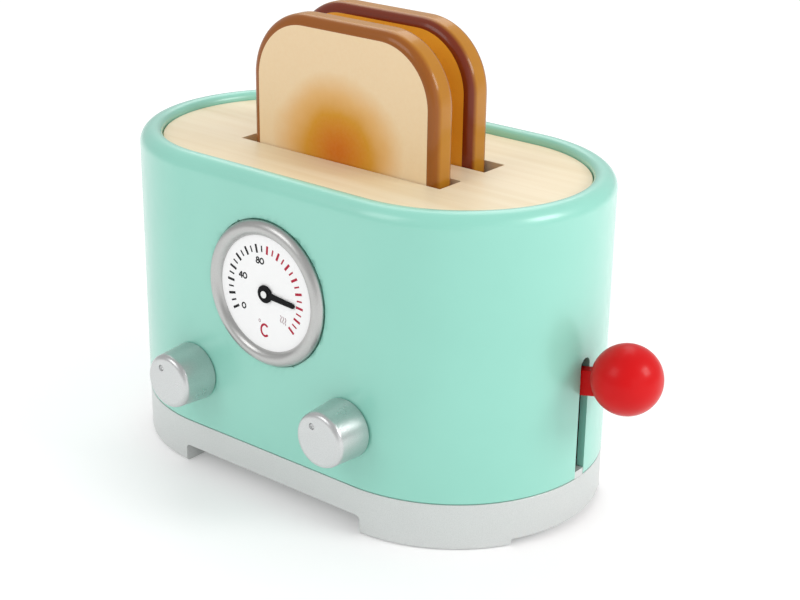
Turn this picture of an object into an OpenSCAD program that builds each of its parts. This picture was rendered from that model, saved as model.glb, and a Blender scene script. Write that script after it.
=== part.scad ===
// Toy toaster: a painted wooden shell on a silver plinth, with two toast
// slices on a sprung platform, a press lever at the right end, two turning
// knobs and a round dial.
//
// Frame: +Z up, +X towards the lever, -Y towards the dial. The origin is on the
// table, below the middle of the whole toy's box, with the ball and the knobs in
// it. The modules work from the middle of the body. Everything is in millimetres.

/* [Body] */
// Length of the body over its two round ends
body_len = 206; // [172:0.2:248]
// Depth of the body from front to back
body_w = 120; // [100:1:144]
// Height of the rim above the table
body_h = 131; // [109:0.2:157.2]
// Wall of the shell around the panel
rim_wall = 9; // [7:0.5:11]
// Wall of the shell below the panel
shell_wall = 12; // [10:0.1:14.4]
// Radius of the rim's outer edge
rim_round = 6; // [4:0.5:7]

/* [Base] */
// Height of the silver plinth
base_h = 19; // [16:0.5:23]
// Height of the step that locates the shell on the plinth
spigot_h = 4; // [3:0.5:6]
// Width of the arch between the feet, front and back
arch_w = 92.6; // [76:0.2:112]
// Height of the arch between the feet, front and back
arch_h = 7.7; // [6:0.1:9.3]
// Width of the shallow arch under each round end
end_arch_w = 60; // [50:1:72]
// Height of the shallow arch under each round end
end_arch_h = 3; // [2:0.5:3.6]
// Depth of the groove where the shell meets the plinth
seam_groove = 0.5; // [0.3:0.1:0.8]
// Radius of the plinth's lower edge
foot_round = 1.5; // [1:0.25:2]

/* [Top panel] */
// How far the panel lies below the rim
panel_drop = 3.3; // [2:0.1:5]
// Thickness of the panel
panel_t = 7; // [5.5:0.5:9]

/* [Toast] */
// Width of a slice
toast_w = 92; // [76:0.2:110.4]
// Height of a slice
toast_h = 91.6; // [82:0.2:110]
// Thickness of a slice
toast_t = 12; // [10:0.5:14.5]
// Radius of a slice's two upper corners
toast_corner = 27; // [15:1:34]
// Radius of a slice's two lower corners
toast_foot_corner = 9; // [6:1:14]
// Radius of a slice's edge all round
toast_edge = 4; // [2:0.5:4.5]
// How much of a slice stands above the panel
toast_show = 54; // [45:1:65]
// Distance between the middles of the two slices
toast_pitch = 27.2; // [24:0.2:33]
// How far the front slice stands right of its slot's middle
front_shift = 1.4; // [0:0.1:3]
// How far the rear slice stands left of its slot's middle
rear_shift = 2.9; // [0:0.1:3]

/* [Toast slots and platform] */
// Free length at each end of a slot
slot_play = 4.2; // [3.5:0.1:6]
// Free width at each side of a slice
side_play = 0.5; // [0.3:0.1:1]
// Thickness of the outer slot guides
guide_t = 6; // [5:0.5:8]
// Thickness of the platform
platform_t = 6; // [5:0.5:8]
// Rim of the platform past the slots
platform_rim = 1.5; // [1:0.1:3]

/* [Guide rods and springs] */
// Diameter of a guide rod
rod_d = 5; // [4:0.5:6]
// Distance from the end of a slot to a guide rod
rod_reach = 13.8; // [12:0.2:16]
// Distance of the guide rods from the middle plane
rod_side = 15; // [14:0.5:16]
// Depth of a guide rod's socket in the plinth
rod_socket = 8; // [6:0.5:10]
// Depth of a guide rod's socket in the panel
rod_top_socket = 3; // [2:0.5:4]
// Wall of a guide bush
bush_wall = 2.5; // [2:0.25:3]
// Length of a guide bush
bush_len = 16; // [13:1:20]
// Diameter of the spring wire
wire_d = 1; // [0.8:0.1:1.2]
// Number of turns of each spring
spring_turns = 10; // [7:1:12]

/* [Lever] */
// How far the lever's plane lies behind the middle of the body
lever_side = 2; // [0:0.1:2.5]
// Diameter of the ball
ball_d = 26.8; // [22:0.2:32]
// Distance of the ball's middle from the end of the body
ball_out = 18; // [17:0.5:22]
// Height of the ball's middle above the table
ball_z = 65; // [60:0.5:70]
// How far the ball's middle lies above the bar's middle line
ball_lift = 2; // [0:0.1:3]
// How far the ball travels down
ball_drop = 29; // [20:0.5:30]
// Height of the lever's flat bar
arm_h = 9.8; // [8.2:0.1:12]
// Thickness of the lever's flat bar
arm_t = 5; // [4:0.5:6]
// How far the bar's end stops short of the ball's middle
arm_stop = 5; // [4:0.5:7]
// Distance of the pivot left of the middle of the body
pivot_left = 30; // [24:1:36]
// Gap between the bar's end and the bracket's foot
pivot_clear = 1; // [0.5:0.25:2]
// Diameter of the pivot pin
pivot_d = 4; // [3.5:0.5:5]
// Free width at each side of the bar
arm_play = 0.5; // [0.4:0.1:1]
// Gap over the bar at the top of the lever slot
slot_head = 4.7; // [2:0.1:6]
// Thickness of the shell at the lever slot
slot_land = 3; // [2.4:0.1:4]
// Width of the recess behind the lever slot
recess_w = 24; // [16:1:28]
// Height of the plinth's tongue in the foot of the lever slot
tongue_h = 3; // [2:0.5:4]
// Thickness of the pivot bracket's cheeks
cheek_t = 6; // [5:0.5:8]
// Thickness of the pivot bracket's foot
bracket_foot = 2; // [1.5:0.5:2.5]

/* [Lift fork] */
// Distance of the drive pin inboard of the guide rods
fork_back = 4; // [2:0.5:6]
// Diameter of the drive pin
drive_d = 3.6; // [3:0.2:4.4]
// Thickness of the fork's cheeks
fork_t = 3.5; // [3:0.5:4]
// Length of the fork along the body
fork_len = 14; // [13:0.5:18]
// Grip of the fork screws in the fork
fork_screw_grip = 8; // [6:0.5:10]

/* [Knobs] */
// Distance between the middles of the knobs
knob_pitch = 79; // [66:1:90]
// Height of the knobs above the table
knob_z = 42.7; // [40:0.5:48]
// Diameter of a knob's face
knob_face_d = 21.8; // [18:0.2:26]
// Diameter of a knob's back
knob_back_d = 23.4; // [20:0.2:28]
// Length of a knob
knob_len = 15.4; // [12.8:0.2:18.6]
// Radius of a knob's front edge
knob_round = 2.2; // [1:0.2:3]
// Diameter of a knob's spindle
spindle_d = 6; // [5:0.5:8]
// Thickness of the retainer behind the wall
retainer_t = 3; // [2.5:0.5:4]
// Diameter of the retainer behind the wall
retainer_d = 14; // [12:0.5:16]

/* [Dial] */
// Distance of the dial's middle below the rim
dial_drop = 45.2; // [40:0.2:52]
// Distance of the dial's middle right of the middle of the body
dial_shift = 0.4; // [0:0.1:2]
// Diameter of the dial's visible face
face_d = 45.6; // [38:0.2:54.8]
// Width of the dial's ring
ring_band = 5.9; // [5:0.1:7.2]
// How far the ring stands out from the wall
ring_out = 2.8; // [2.4:0.1:5]
// How far the face stands out from the wall
face_out = 0.6; // [0.4:0.1:1.4]
// Depth of the dial's pocket in the wall
dial_pocket = 4; // [3:0.5:6]
// Length of the needle from its pin
needle_len = 15; // [12:0.5:18]
// Angle of the needle below the horizontal
needle_dip = 5; // [0:1:40]
// Thickness of the needle
needle_t = 0.5; // [0.4:0.1:0.8]

/* [Screws] */
// Diameter of the plinth screws
base_screw_d = 4; // [3:0.5:5]
// Grip of the plinth screws in the shell
base_screw_grip = 18; // [12:1:24]
// Diameter of the small screws
small_screw_d = 3; // [2.5:0.5:3.5]

/* [Hidden] */

// Colours, as the photograph shows them
MINT = [0.56, 0.85, 0.77];
SILVER = [0.79, 0.80, 0.79];
PALE_WOOD = [0.93, 0.86, 0.74];
PLY = [0.84, 0.72, 0.54];
STEEL = [0.66, 0.68, 0.70];
BRASS = [0.80, 0.66, 0.36];
RED = [0.87, 0.10, 0.13];
CRUST = [0.62, 0.40, 0.17];
WHITE = [0.97, 0.97, 0.96];
BLACK = [0.06, 0.06, 0.06];
NYLON = [0.90, 0.89, 0.85];

// Clearances
eps = 0.1;             // overrun of a cut past a face
seat_gap = 0.3;        // gap between two pieces that move on each other
fit_gap = 0.05;        // radial gap of a pin, rod or screw in its hole
run_gap = 0.06;        // radial gap of a bush on its rod
panel_gap = 0.3;       // gap all round the panel and the spigot
drive_gap = 0.25;      // gap of the drive pin in the bar's slot
stop_gap = 0.4;        // gap between the platform and the boards that stop it
turn_gap = 1;          // radial gap round the retainers and inside the springs
arm_head = 1;          // height of the bracket's cheeks above the bar
fork_head = 2;         // gap over the bar in the fork
hole_spare = 1;        // depth of a screw hole past its screw
$fn = 96;

// Material left round small features
lug_wall = 2;          // round a bush in the platform
screw_margin = 2;      // round the head of a small screw
foot_margin = 3;       // between an end arch and a plinth screw
fork_skin = 3.2;       // below the drive pin in the fork
grip_skin = 1;         // between a fork screw and the bar's gap
fork_margin = 2;       // of the platform beside the fork

// Body
end_r = body_w / 2;
end_x = body_len / 2 - end_r;
inner_r = end_r - shell_wall;
base_top = base_h + spigot_h;
panel_top = body_h - panel_drop;
panel_low = panel_top - panel_t;
rim_r = end_r - rim_wall;
rim_in = rim_wall - rim_round;

// Slices, slots and platform
slot_half = toast_w / 2 + slot_play;
slot_y = toast_pitch / 2;
slot_w = toast_t + 2 * side_play;
toast_low = panel_top + toast_show - toast_h;
platform_top = toast_low - seat_gap;
platform_low = platform_top - platform_t;
platform_half = slot_half + platform_rim;
platform_y = slot_y + slot_w / 2 + platform_rim;
guide_low = platform_top + stop_gap;

// Guide rods and springs
rod_x = slot_half + rod_reach;
rod_low = base_top - rod_socket;
rod_high = panel_low + rod_top_socket;
bush_r = rod_d / 2 + bush_wall;
bush_over = 2;
bush_high = platform_top + bush_over;
bush_low = bush_high - bush_len;
lug_r = bush_r + lug_wall;
coil_r = rod_d / 2 + wire_d / 2 + turn_gap;
coil_h = bush_low - base_top;
rings_per_turn = 8;
wire_sides = 6;
coil_rings = spring_turns * rings_per_turn;

// Small screws
head_wide = small_screw_d * 0.95;
head_high = small_screw_d / 2;

// Lever: the bar runs straight from the pivot to just below the ball's middle
ball_x = body_len / 2 + ball_out;
aim_z = ball_z - ball_lift;
pivot_x = -pivot_left;
pivot_z = base_top + bracket_foot + pivot_clear + arm_h / 2;
arm_angle = atan((aim_z - pivot_z) / (ball_x - pivot_x));
arm_len = norm([ball_x - pivot_x, aim_z - pivot_z]);
low_angle = asin((aim_z - ball_drop - pivot_z) / arm_len);
arm_slot_w = arm_t + 2 * arm_play;
arm_side = arm_slot_w / 2;
slot_top = pivot_z + (body_len / 2 - pivot_x) * tan(arm_angle) + arm_h / 2 / cos(arm_angle) + slot_head;
recess_head = 6;
tongue_in = 0.2;

// The middle of the whole toy's box, from the middle of the body
box_x = (ball_x + ball_d / 2 - body_len / 2) / 2;
box_y = -(seat_gap + knob_len) / 2;

// The drive pin slides a little along the bar as the bar turns
drive_x = rod_x - fork_back;
drive_reach = drive_x - pivot_x;
drive_z = pivot_z + drive_reach * tan(arm_angle);
drive_far = drive_reach / cos(arm_angle) + drive_gap;
drive_near = drive_reach / cos(low_angle) - drive_gap;
fork_out = arm_side + fork_t;
fork_low = drive_z - drive_d / 2 - fork_skin;
fork_slot_top = drive_z + arm_h / 2 + fork_head;
fork_screw_x = fork_len / 4;
fork_grip = min(fork_screw_grip, platform_low - fork_slot_top - grip_skin);

// Pivot bracket
bracket_len = 16;
bracket_screw_y = arm_side + cheek_t + head_wide + screw_margin;
bracket_half = bracket_screw_y + head_wide + screw_margin;
bracket_screw_grip = 9;
bracket_screw_low = base_top - bracket_screw_grip;

// Knobs
knob_x = knob_pitch / 2;
knob_hub = 9;
spindle_out = 1.2;
mark_d = 2.6;
mark_deep = 0.6;
mark_out = 6;
mark_turn = 118;

// Dial
dial_z = body_h - dial_drop;
lip_over = 2.6;
plate_r = face_d / 2 + lip_over;
ring_r = face_d / 2 + ring_band;
ring_round = 1.4;
lip_t = 0.6;
lip_slope = 1.6;
needle_turn = -needle_dip;
needle_hub_r = 3.5;
needle_root_w = 2.6;
needle_tip_w = 2;
needle_bore_r = 1.05;
pin_head_r = 1.4;
pin_head_t = 0.3;
pin_depth = 3;

// Plinth screws: one in each foot, and two up through the arch
head_r = base_screw_d * 0.9;
head_deep = 2.4;
screw_sink = 0.6;
screw_r = end_r - shell_wall / 2;
foot_screw_y = end_arch_w / 2 + head_r + foot_margin;
foot_screw_x = end_x + sqrt(pow(screw_r, 2) - pow(foot_screw_y, 2));
base_screw_top = base_h + base_screw_grip;
foot_screws = [for (sx = [-1, 1], sy = [-1, 1]) [sx * foot_screw_x, sy * foot_screw_y, 0]];
arch_screws = [for (sy = [-1, 1]) [0, sy * screw_r, arch_h]];
plinth_screws = concat(foot_screws, arch_screws);

// ---------------------------------------------------------------- helpers

// Moves a piece from the middle of the body into the frame
module placed() {
    translate([-box_x, -box_y, 0]) children();
}

// A plan with straight sides and round ends, r is its half width
module plan(r) {
    union() {
        square([2 * end_x, 2 * r], center = true);
        for (s = [-1, 1]) translate([s * end_x, 0]) circle(r);
    }
}

// Carries a profile, drawn as distance out and height, round the body
module round_body() {
    for (s = [0, 180]) rotate([0, 0, s]) {
        translate([end_x, 0, 0])
            rotate([0, 0, -90])
                rotate_extrude(angle = 180) children();
        translate([-end_x, 0, 0])
            rotate([90, 0, 0])
                rotate([0, 90, 0])
                    linear_extrude(2 * end_x) mirror([1, 0]) children();
    }
}

// A quarter disc whose corner is at the origin
module quarter(r, sx, sy) {
    intersection() {
        circle(r);
        translate([sx > 0 ? 0 : -r, sy > 0 ? 0 : -r]) square(r);
    }
}

// A cylinder along +Y from y0 to y1
module along_y(r, y0, y1) {
    translate([0, y1, 0]) rotate([90, 0, 0]) cylinder(r = r, h = y1 - y0);
}

// A block from its low corner to its high corner
module block(low, high) {
    translate(low) cube(high - low);
}

// Moves its children from the middle plane to the lever's plane
module in_lever_plane() {
    translate([0, lever_side, 0]) children();
}

// Moves its children to the pivot, with +X along the bar
module at_pivot() {
    in_lever_plane() translate([pivot_x, 0, pivot_z]) rotate([0, -arm_angle, 0]) children();
}

// A countersunk screw along +Z, its head's face at z = 0
module screw(d, head, deep, length) {
    cylinder(r1 = head, r2 = d / 2, h = deep);
    cylinder(d = d, h = length);
}

// Moves its children to the middle of the dial
module at_dial() {
    translate([dial_shift, 0, dial_z]) children();
}

// The groove where the shell and the plinth meet
module seam_section() {
    polygon([[end_r - seam_groove, base_h],
             [end_r + eps, base_h - seam_groove - eps],
             [end_r + eps, base_h + seam_groove + eps]]);
}

// ------------------------------------------------------------------ body

// Section of the shell's wall, with the ledge that carries the panel
module shell_section() {
    arc_x = end_r - rim_round;
    difference() {
        union() {
            translate([inner_r, base_h]) square([shell_wall, panel_low - base_h]);
            translate([rim_r, base_h]) square([rim_wall, body_h - rim_round - base_h]);
            translate([arc_x, body_h - rim_round]) quarter(rim_round, 1, 1);
            translate([rim_r, body_h - rim_round]) square([rim_in, rim_round - rim_in]);
            translate([arc_x, body_h - rim_in]) quarter(rim_in, -1, 1);
        }
        seam_section();
    }
}

module body_shell() {
    color(MINT) difference() {
        round_body() shell_section();
        in_lever_plane() lever_slot();
        slot_recess();
        at_dial() along_y(plate_r + fit_gap, -end_r - eps, -end_r + dial_pocket);
        for (s = [-1, 1]) translate([s * knob_x, 0, knob_z]) {
            along_y(spindle_d / 2 + fit_gap, -end_r - eps, 0);
            along_y(retainer_d / 2 + turn_gap, -inner_r, 0);
        }
        for (p = plinth_screws) translate([p.x, p.y, base_h - eps])
            cylinder(r = base_screw_d / 2 + fit_gap, h = base_screw_grip + hole_spare);
    }
}

// The slot that the lever moves in, open at the shell's lower edge
module lever_slot() {
    arch_r = arm_side;
    block([end_x, -arch_r, base_h - eps], [body_len, arch_r, slot_top - arch_r]);
    translate([end_x, 0, slot_top - arch_r]) rotate([0, 90, 0]) cylinder(r = arch_r, h = body_len);
}

// Thins the wall from inside round the lever slot, so that the bar rubs on a thin edge only
module slot_recess() {
    half = recess_w / 2;
    high = slot_top + recess_head;
    intersection() {
        translate([0, 0, base_h - eps]) linear_extrude(high - base_h + eps) plan(end_r - slot_land);
        in_lever_plane() block([end_x, -half, base_h - eps], [body_len, half, high]);
    }
}

// Section of the plinth, with its rounded lower edge
module plinth_section() {
    difference() {
        union() {
            translate([0, foot_round]) square([end_r, base_h - foot_round]);
            square([end_r - foot_round, foot_round]);
            translate([end_r - foot_round, foot_round]) quarter(foot_round, 1, -1);
        }
        seam_section();
    }
}

module base_plinth() {
    color(SILVER) difference() {
        union() {
            round_body() plinth_section();
            translate([0, 0, base_h - 1]) linear_extrude(spigot_h + 1) plan(inner_r - panel_gap);
            tongue();
        }
        block([-arch_w / 2, -body_w, -1], [arch_w / 2, body_w, arch_h]);
        block([-body_len, -end_arch_w / 2, -1], [body_len, end_arch_w / 2, end_arch_h]);
        for (s = [-1, 1])
            translate([s * rod_x, s * rod_side, rod_low]) cylinder(r = rod_d / 2 + fit_gap, h = base_top);
        for (p = plinth_screws) translate(p) base_screw_sink();
        in_lever_plane() for (s = [-1, 1])
            translate([pivot_x, s * bracket_screw_y, bracket_screw_low])
                cylinder(r = small_screw_d / 2 + fit_gap, h = base_top);
    }
}

// Fills the foot of the lever slot, a hair behind the shell's face
module tongue() {
    half = arm_side - panel_gap;
    intersection() {
        translate([0, 0, base_h - 1]) linear_extrude(tongue_h + 1) plan(end_r - tongue_in);
        in_lever_plane() block([end_x, -half, base_h - 1], [body_len, half, base_h + tongue_h]);
    }
}

module base_screw_sink() {
    translate([0, 0, -eps]) cylinder(r = base_screw_d / 2 + fit_gap, h = base_h + eps);
    translate([0, 0, -eps]) cylinder(r = head_r + fit_gap, h = screw_sink + eps);
    translate([0, 0, screw_sink])
        cylinder(r1 = head_r + fit_gap, r2 = base_screw_d / 2 + fit_gap, h = head_deep);
}

module base_screws() {
    color(STEEL) for (p = plinth_screws)
        translate(p + [0, 0, screw_sink])
            screw(base_screw_d, head_r, head_deep, base_screw_top - p.z - screw_sink);
}

// ------------------------------------------------- panel and slot guides

module top_panel() {
    color(PALE_WOOD) difference() {
        translate([0, 0, panel_low]) linear_extrude(panel_t) plan(rim_r - panel_gap);
        for (s = [-1, 1]) toast_opening(s);
        for (s = [-1, 1])
            translate([s * rod_x, s * rod_side, panel_low - eps])
                cylinder(r = rod_d / 2 + fit_gap, h = rod_top_socket + eps);
    }
}

module toast_opening(s) {
    block([-slot_half, s * slot_y - slot_w / 2, panel_low - eps],
          [slot_half, s * slot_y + slot_w / 2, panel_top + eps]);
}

// The board between the two slices; its lower edge stops the platform
module slot_divider() {
    half = slot_y - slot_w / 2;
    color(PLY) block([-slot_half, -half, guide_low], [slot_half, half, panel_low]);
}

module slot_guide(s) {
    near = slot_y + slot_w / 2;
    color(PLY) translate([0, s * (near + guide_t / 2), 0])
        block([-slot_half, -guide_t / 2, guide_low], [slot_half, guide_t / 2, panel_low]);
}

module slot_guide_front() {
    slot_guide(-1);
}

module slot_guide_rear() {
    slot_guide(1);
}

// ------------------------------------------------ rods, springs, platform

module guide_rod(s) {
    color(STEEL) translate([s * rod_x, s * rod_side, rod_low]) cylinder(d = rod_d, h = rod_high - rod_low);
}

module guide_rod_left() {
    guide_rod(-1);
}

module guide_rod_right() {
    guide_rod(1);
}

// Middle of a spring's wire at ring i, over the spring's height
function coil_point(i) =
    let (turn = 360 * i / rings_per_turn)
    [coil_r * cos(turn), coil_r * sin(turn), wire_d / 2 + (coil_h - wire_d) * i / coil_rings];

// The points round the wire at ring i
function wire_ring(i) =
    let (turn = 360 * i / rings_per_turn, middle = coil_point(i))
    [for (k = [0 : wire_sides - 1])
        let (a = 360 * (k + 0.5) / wire_sides)
        middle + wire_d / 2 * [cos(a) * cos(turn), cos(a) * sin(turn), sin(a)]];

// The least gap between one turn of a spring and the next
coil_gap = min([for (i = [0 : coil_rings], j = [i + rings_per_turn / 2 : 1 : coil_rings])
    norm(coil_point(i) - coil_point(j))]) - wire_d;
echo(coil_gap = coil_gap);

// A coil spring between the plinth and its bush, as one unbroken wire
module lift_spring(s) {
    last = coil_rings * wire_sides;
    points = [for (i = [0 : coil_rings]) each wire_ring(i)];
    sides = [for (i = [0 : coil_rings - 1], k = [0 : wire_sides - 1])
        let (a = i * wire_sides + k, b = i * wire_sides + (k + 1) % wire_sides)
        each [[a, b, b + wire_sides], [a, b + wire_sides, a + wire_sides]]];
    ends = [for (k = [1 : wire_sides - 2]) each [[0, k + 1, k], [last, last + k, last + k + 1]]];
    color(STEEL) translate([s * rod_x, s * rod_side, base_top]) polyhedron(points, concat(sides, ends));
}

module lift_spring_left() {
    lift_spring(-1);
}

module lift_spring_right() {
    lift_spring(1);
}

module guide_bush(s) {
    color(BRASS) translate([s * rod_x, s * rod_side, bush_low]) difference() {
        cylinder(r = bush_r, h = bush_len);
        translate([0, 0, -eps]) cylinder(r = rod_d / 2 + run_gap, h = bush_len + 2 * eps);
    }
}

module guide_bush_left() {
    guide_bush(-1);
}

module guide_bush_right() {
    guide_bush(1);
}

module toast_platform() {
    lug_in = platform_half - 1;
    color(PLY) difference() {
        union() {
            block([-platform_half, -platform_y, platform_low], [platform_half, platform_y, platform_top]);
            for (turn = [0, 180]) rotate([0, 0, turn]) {
                translate([rod_x, rod_side, platform_low]) cylinder(r = lug_r, h = platform_t);
                block([lug_in, rod_side - lug_r, platform_low], [rod_x, rod_side + lug_r, platform_top]);
            }
            block([lug_in, lever_side - fork_out - fork_margin, platform_low],
                  [drive_x + fork_len / 2, rod_side, platform_top]);
        }
        for (s = [-1, 1])
            translate([s * rod_x, s * rod_side, platform_low - eps])
                cylinder(r = bush_r + fit_gap, h = platform_t + 2 * eps);
        at_fork_screws() screw(small_screw_d + 2 * fit_gap, head_wide + fit_gap, head_high, platform_t + eps);
        at_fork_screws() translate([0, 0, -eps]) cylinder(r = head_wide + fit_gap, h = 2 * eps);
    }
}

// Moves its children to each fork screw, with +Z down into the platform
module at_fork_screws() {
    for (s = [-1, 1])
        translate([drive_x + s * fork_screw_x, lever_side, platform_top]) mirror([0, 0, 1]) children();
}

// ------------------------------------------------------------- lift fork

module lift_fork() {
    color(NYLON) difference() {
        in_lever_plane() difference() {
            block([drive_x - fork_len / 2, -fork_out, fork_low],
                  [drive_x + fork_len / 2, fork_out, platform_low]);
            block([drive_x - fork_len, -arm_side, fork_low - eps],
                  [drive_x + fork_len, arm_side, fork_slot_top]);
            translate([drive_x, 0, drive_z]) along_y(drive_d / 2 + fit_gap, -fork_out - eps, fork_out + eps);
        }
        at_fork_screws() cylinder(r = small_screw_d / 2 + fit_gap, h = platform_t + fork_grip + seat_gap);
    }
}

module fork_screws() {
    color(STEEL) at_fork_screws() screw(small_screw_d, head_wide, head_high, platform_t + fork_grip);
}

module drive_pin() {
    color(STEEL) in_lever_plane() translate([drive_x, 0, drive_z]) along_y(drive_d / 2, -fork_out, fork_out);
}

// ----------------------------------------------------------------- lever

module lever_arm() {
    slot_r = drive_d / 2 + drive_gap;
    color(RED) at_pivot() difference() {
        union() {
            along_y(arm_h / 2, -arm_t / 2, arm_t / 2);
            block([0, -arm_t / 2, -arm_h / 2], [arm_len - arm_stop, arm_t / 2, arm_h / 2]);
        }
        along_y(pivot_d / 2 + fit_gap, -arm_t, arm_t);
        for (along = [drive_near, drive_far]) translate([along, 0, 0]) along_y(slot_r, -arm_t, arm_t);
        block([drive_near, -arm_t, -slot_r], [drive_far, arm_t, slot_r]);
    }
}

module lever_ball() {
    color(RED) at_pivot() difference() {
        translate([arm_len, 0, 0]) rotate([0, arm_angle, 0])
            translate([0, 0, ball_lift]) sphere(d = ball_d);
        block([arm_len - ball_d, -arm_t / 2 - fit_gap, -arm_h / 2 - fit_gap],
              [arm_len - arm_stop + fit_gap, arm_t / 2 + fit_gap, arm_h / 2 + fit_gap]);
    }
}

module pivot_bracket() {
    cheek_top = pivot_z + arm_h / 2 + arm_head;
    foot_top = base_top + bracket_foot;
    color(PLY) in_lever_plane() difference() {
        translate([pivot_x, 0, 0]) union() {
            block([-bracket_len / 2, -bracket_half, base_top], [bracket_len / 2, bracket_half, foot_top]);
            for (s = [-1, 1]) translate([0, s * (arm_side + cheek_t / 2), 0])
                block([-bracket_len / 2, -cheek_t / 2, base_top], [bracket_len / 2, cheek_t / 2, cheek_top]);
        }
        translate([pivot_x, 0, pivot_z]) along_y(pivot_d / 2 + fit_gap, -bracket_half, bracket_half);
        for (s = [-1, 1])
            translate([pivot_x, s * bracket_screw_y, base_top - eps])
                cylinder(r = small_screw_d / 2 + fit_gap, h = bracket_foot + 2 * eps);
    }
}

module pivot_pin() {
    half = arm_side + cheek_t;
    color(STEEL) in_lever_plane() translate([pivot_x, 0, pivot_z]) along_y(pivot_d / 2, -half, half);
}

module bracket_screws() {
    grip = base_top + bracket_foot - bracket_screw_low;
    color(STEEL) in_lever_plane() for (s = [-1, 1])
        translate([pivot_x, s * bracket_screw_y, bracket_screw_low]) {
            cylinder(d = small_screw_d, h = grip);
            translate([0, 0, grip]) cylinder(r = head_wide, h = head_high);
        }
}

// ----------------------------------------------------------------- knobs

// A turned knob with a rounded front edge, a blind hub and a round mark
module knob(s) {
    face_r = knob_face_d / 2;
    back_r = knob_back_d / 2;
    front = end_r + seat_gap + knob_len;
    color(SILVER) translate([s * knob_x, 0, knob_z]) difference() {
        rotate([90, 0, 0]) rotate_extrude() {
            translate([0, end_r + seat_gap]) polygon([
                [0, 0], [back_r, 0], [face_r, knob_len - knob_round],
                [face_r - knob_round, knob_len - knob_round], [face_r - knob_round, knob_len], [0, knob_len]]);
            translate([face_r - knob_round, front - knob_round]) quarter(knob_round, 1, 1);
        }
        along_y(spindle_d / 2 + fit_gap, -end_r - seat_gap - knob_hub, -end_r + eps);
        rotate([0, -mark_turn, 0]) translate([mark_out, 0, 0])
            along_y(mark_d / 2, -front - eps, -front + mark_deep);
    }
}

module knob_left() {
    knob(-1);
}

module knob_right() {
    knob(1);
}

module spindle(s) {
    color(PLY) translate([s * knob_x, 0, knob_z])
        along_y(spindle_d / 2, -end_r - knob_hub, -inner_r + seat_gap + retainer_t + spindle_out);
}

module spindle_left() {
    spindle(-1);
}

module spindle_right() {
    spindle(1);
}

module knob_retainer(s) {
    color(NYLON) translate([s * knob_x, -inner_r + seat_gap, knob_z]) difference() {
        along_y(retainer_d / 2, 0, retainer_t);
        along_y(spindle_d / 2 + fit_gap, -eps, retainer_t + eps);
    }
}

module knob_retainer_left() {
    knob_retainer(-1);
}

module knob_retainer_right() {
    knob_retainer(1);
}

// ------------------------------------------------------------------ dial

// Section of the ring: a rounded bezel with a lip over the face's edge
module ring_section() {
    inner = face_d / 2;
    lip_top = face_out + lip_t;
    difference() {
        union() {
            translate([inner, 0]) square([ring_r - inner, ring_out - ring_round]);
            translate([inner, ring_out - ring_round]) square([ring_r - inner - ring_round, ring_round]);
            translate([ring_r - ring_round, ring_out - ring_round]) quarter(ring_round, 1, 1);
        }
        translate([0, -eps]) square([plate_r + fit_gap, face_out + eps]);
        polygon([[0, ring_out + eps], [inner + lip_slope, ring_out + eps], [inner, lip_top], [0, lip_top]]);
    }
}

module dial_ring() {
    color(SILVER) at_dial() translate([0, -end_r, 0]) rotate([90, 0, 0]) rotate_extrude() ring_section();
}

module dial_face() {
    color(WHITE) at_dial() difference() {
        along_y(plate_r, -end_r - face_out, -end_r + dial_pocket);
        along_y(needle_bore_r, -end_r - face_out - eps, -end_r - face_out + pin_depth);
    }
}

module dial_needle() {
    back = -end_r - face_out - seat_gap;
    color(BLACK) at_dial() rotate([0, -needle_turn, 0]) difference() {
        union() {
            along_y(needle_hub_r, back - needle_t, back);
            translate([0, back, 0]) rotate([90, 0, 0]) linear_extrude(needle_t) polygon([
                [0, -needle_root_w / 2], [needle_len - needle_tip_w / 2, -needle_tip_w / 2],
                [needle_len - needle_tip_w / 2, needle_tip_w / 2], [0, needle_root_w / 2]]);
            translate([needle_len - needle_tip_w / 2, 0, 0]) along_y(needle_tip_w / 2, back - needle_t, back);
        }
        along_y(needle_bore_r, back - needle_t - eps, back + eps);
    }
}

module needle_pin() {
    face = -end_r - face_out;
    head = face - 2 * seat_gap - needle_t;
    color(WHITE) at_dial() {
        along_y(needle_bore_r - fit_gap, head, face + pin_depth);
        along_y(pin_head_r, head - pin_head_t, head);
    }
}

// ----------------------------------------------------------------- toast

// Section of a slice from its middle to its rounded edge
module slice_section(reach) {
    flat = toast_t / 2 - toast_edge;
    translate([0, -toast_t / 2]) square([reach - toast_edge, toast_t]);
    translate([0, -flat]) square([reach, 2 * flat]);
    for (s = [-1, 1]) translate([reach - toast_edge, s * flat]) circle(toast_edge);
}

// A slice lying flat, its lower edge on the X axis
module flat_slice() {
    half = toast_w / 2;
    for (s = [-1, 1]) {
        translate([s * (half - toast_corner), toast_h - toast_corner, 0])
            rotate([0, 0, s > 0 ? 0 : 90]) rotate_extrude(angle = 90) slice_section(toast_corner);
        translate([s * (half - toast_foot_corner), toast_foot_corner, 0])
            rotate([0, 0, s > 0 ? -90 : 180]) rotate_extrude(angle = 90) slice_section(toast_foot_corner);
        translate([0, toast_h - toast_corner, 0]) rotate([90, 0, 0])
            linear_extrude(toast_h - toast_corner - toast_foot_corner)
                mirror([s > 0 ? 0 : 1, 0]) slice_section(half);
    }
    translate([toast_corner - half, toast_h / 2, 0]) rotate([90, 0, 90])
        linear_extrude(2 * (half - toast_corner)) slice_section(toast_h / 2);
    translate([toast_foot_corner - half, toast_h / 2, 0]) mirror([0, 1, 0]) rotate([90, 0, 90])
        linear_extrude(2 * (half - toast_foot_corner)) slice_section(toast_h / 2);
}

module toast_front() {
    color(CRUST) translate([front_shift, -slot_y, toast_low]) rotate([90, 0, 0]) flat_slice();
}

module toast_rear() {
    color(CRUST) translate([-rear_shift, slot_y, toast_low]) rotate([90, 0, 0]) flat_slice();
}

// ------------------------------------------------------------------ nodes

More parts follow.
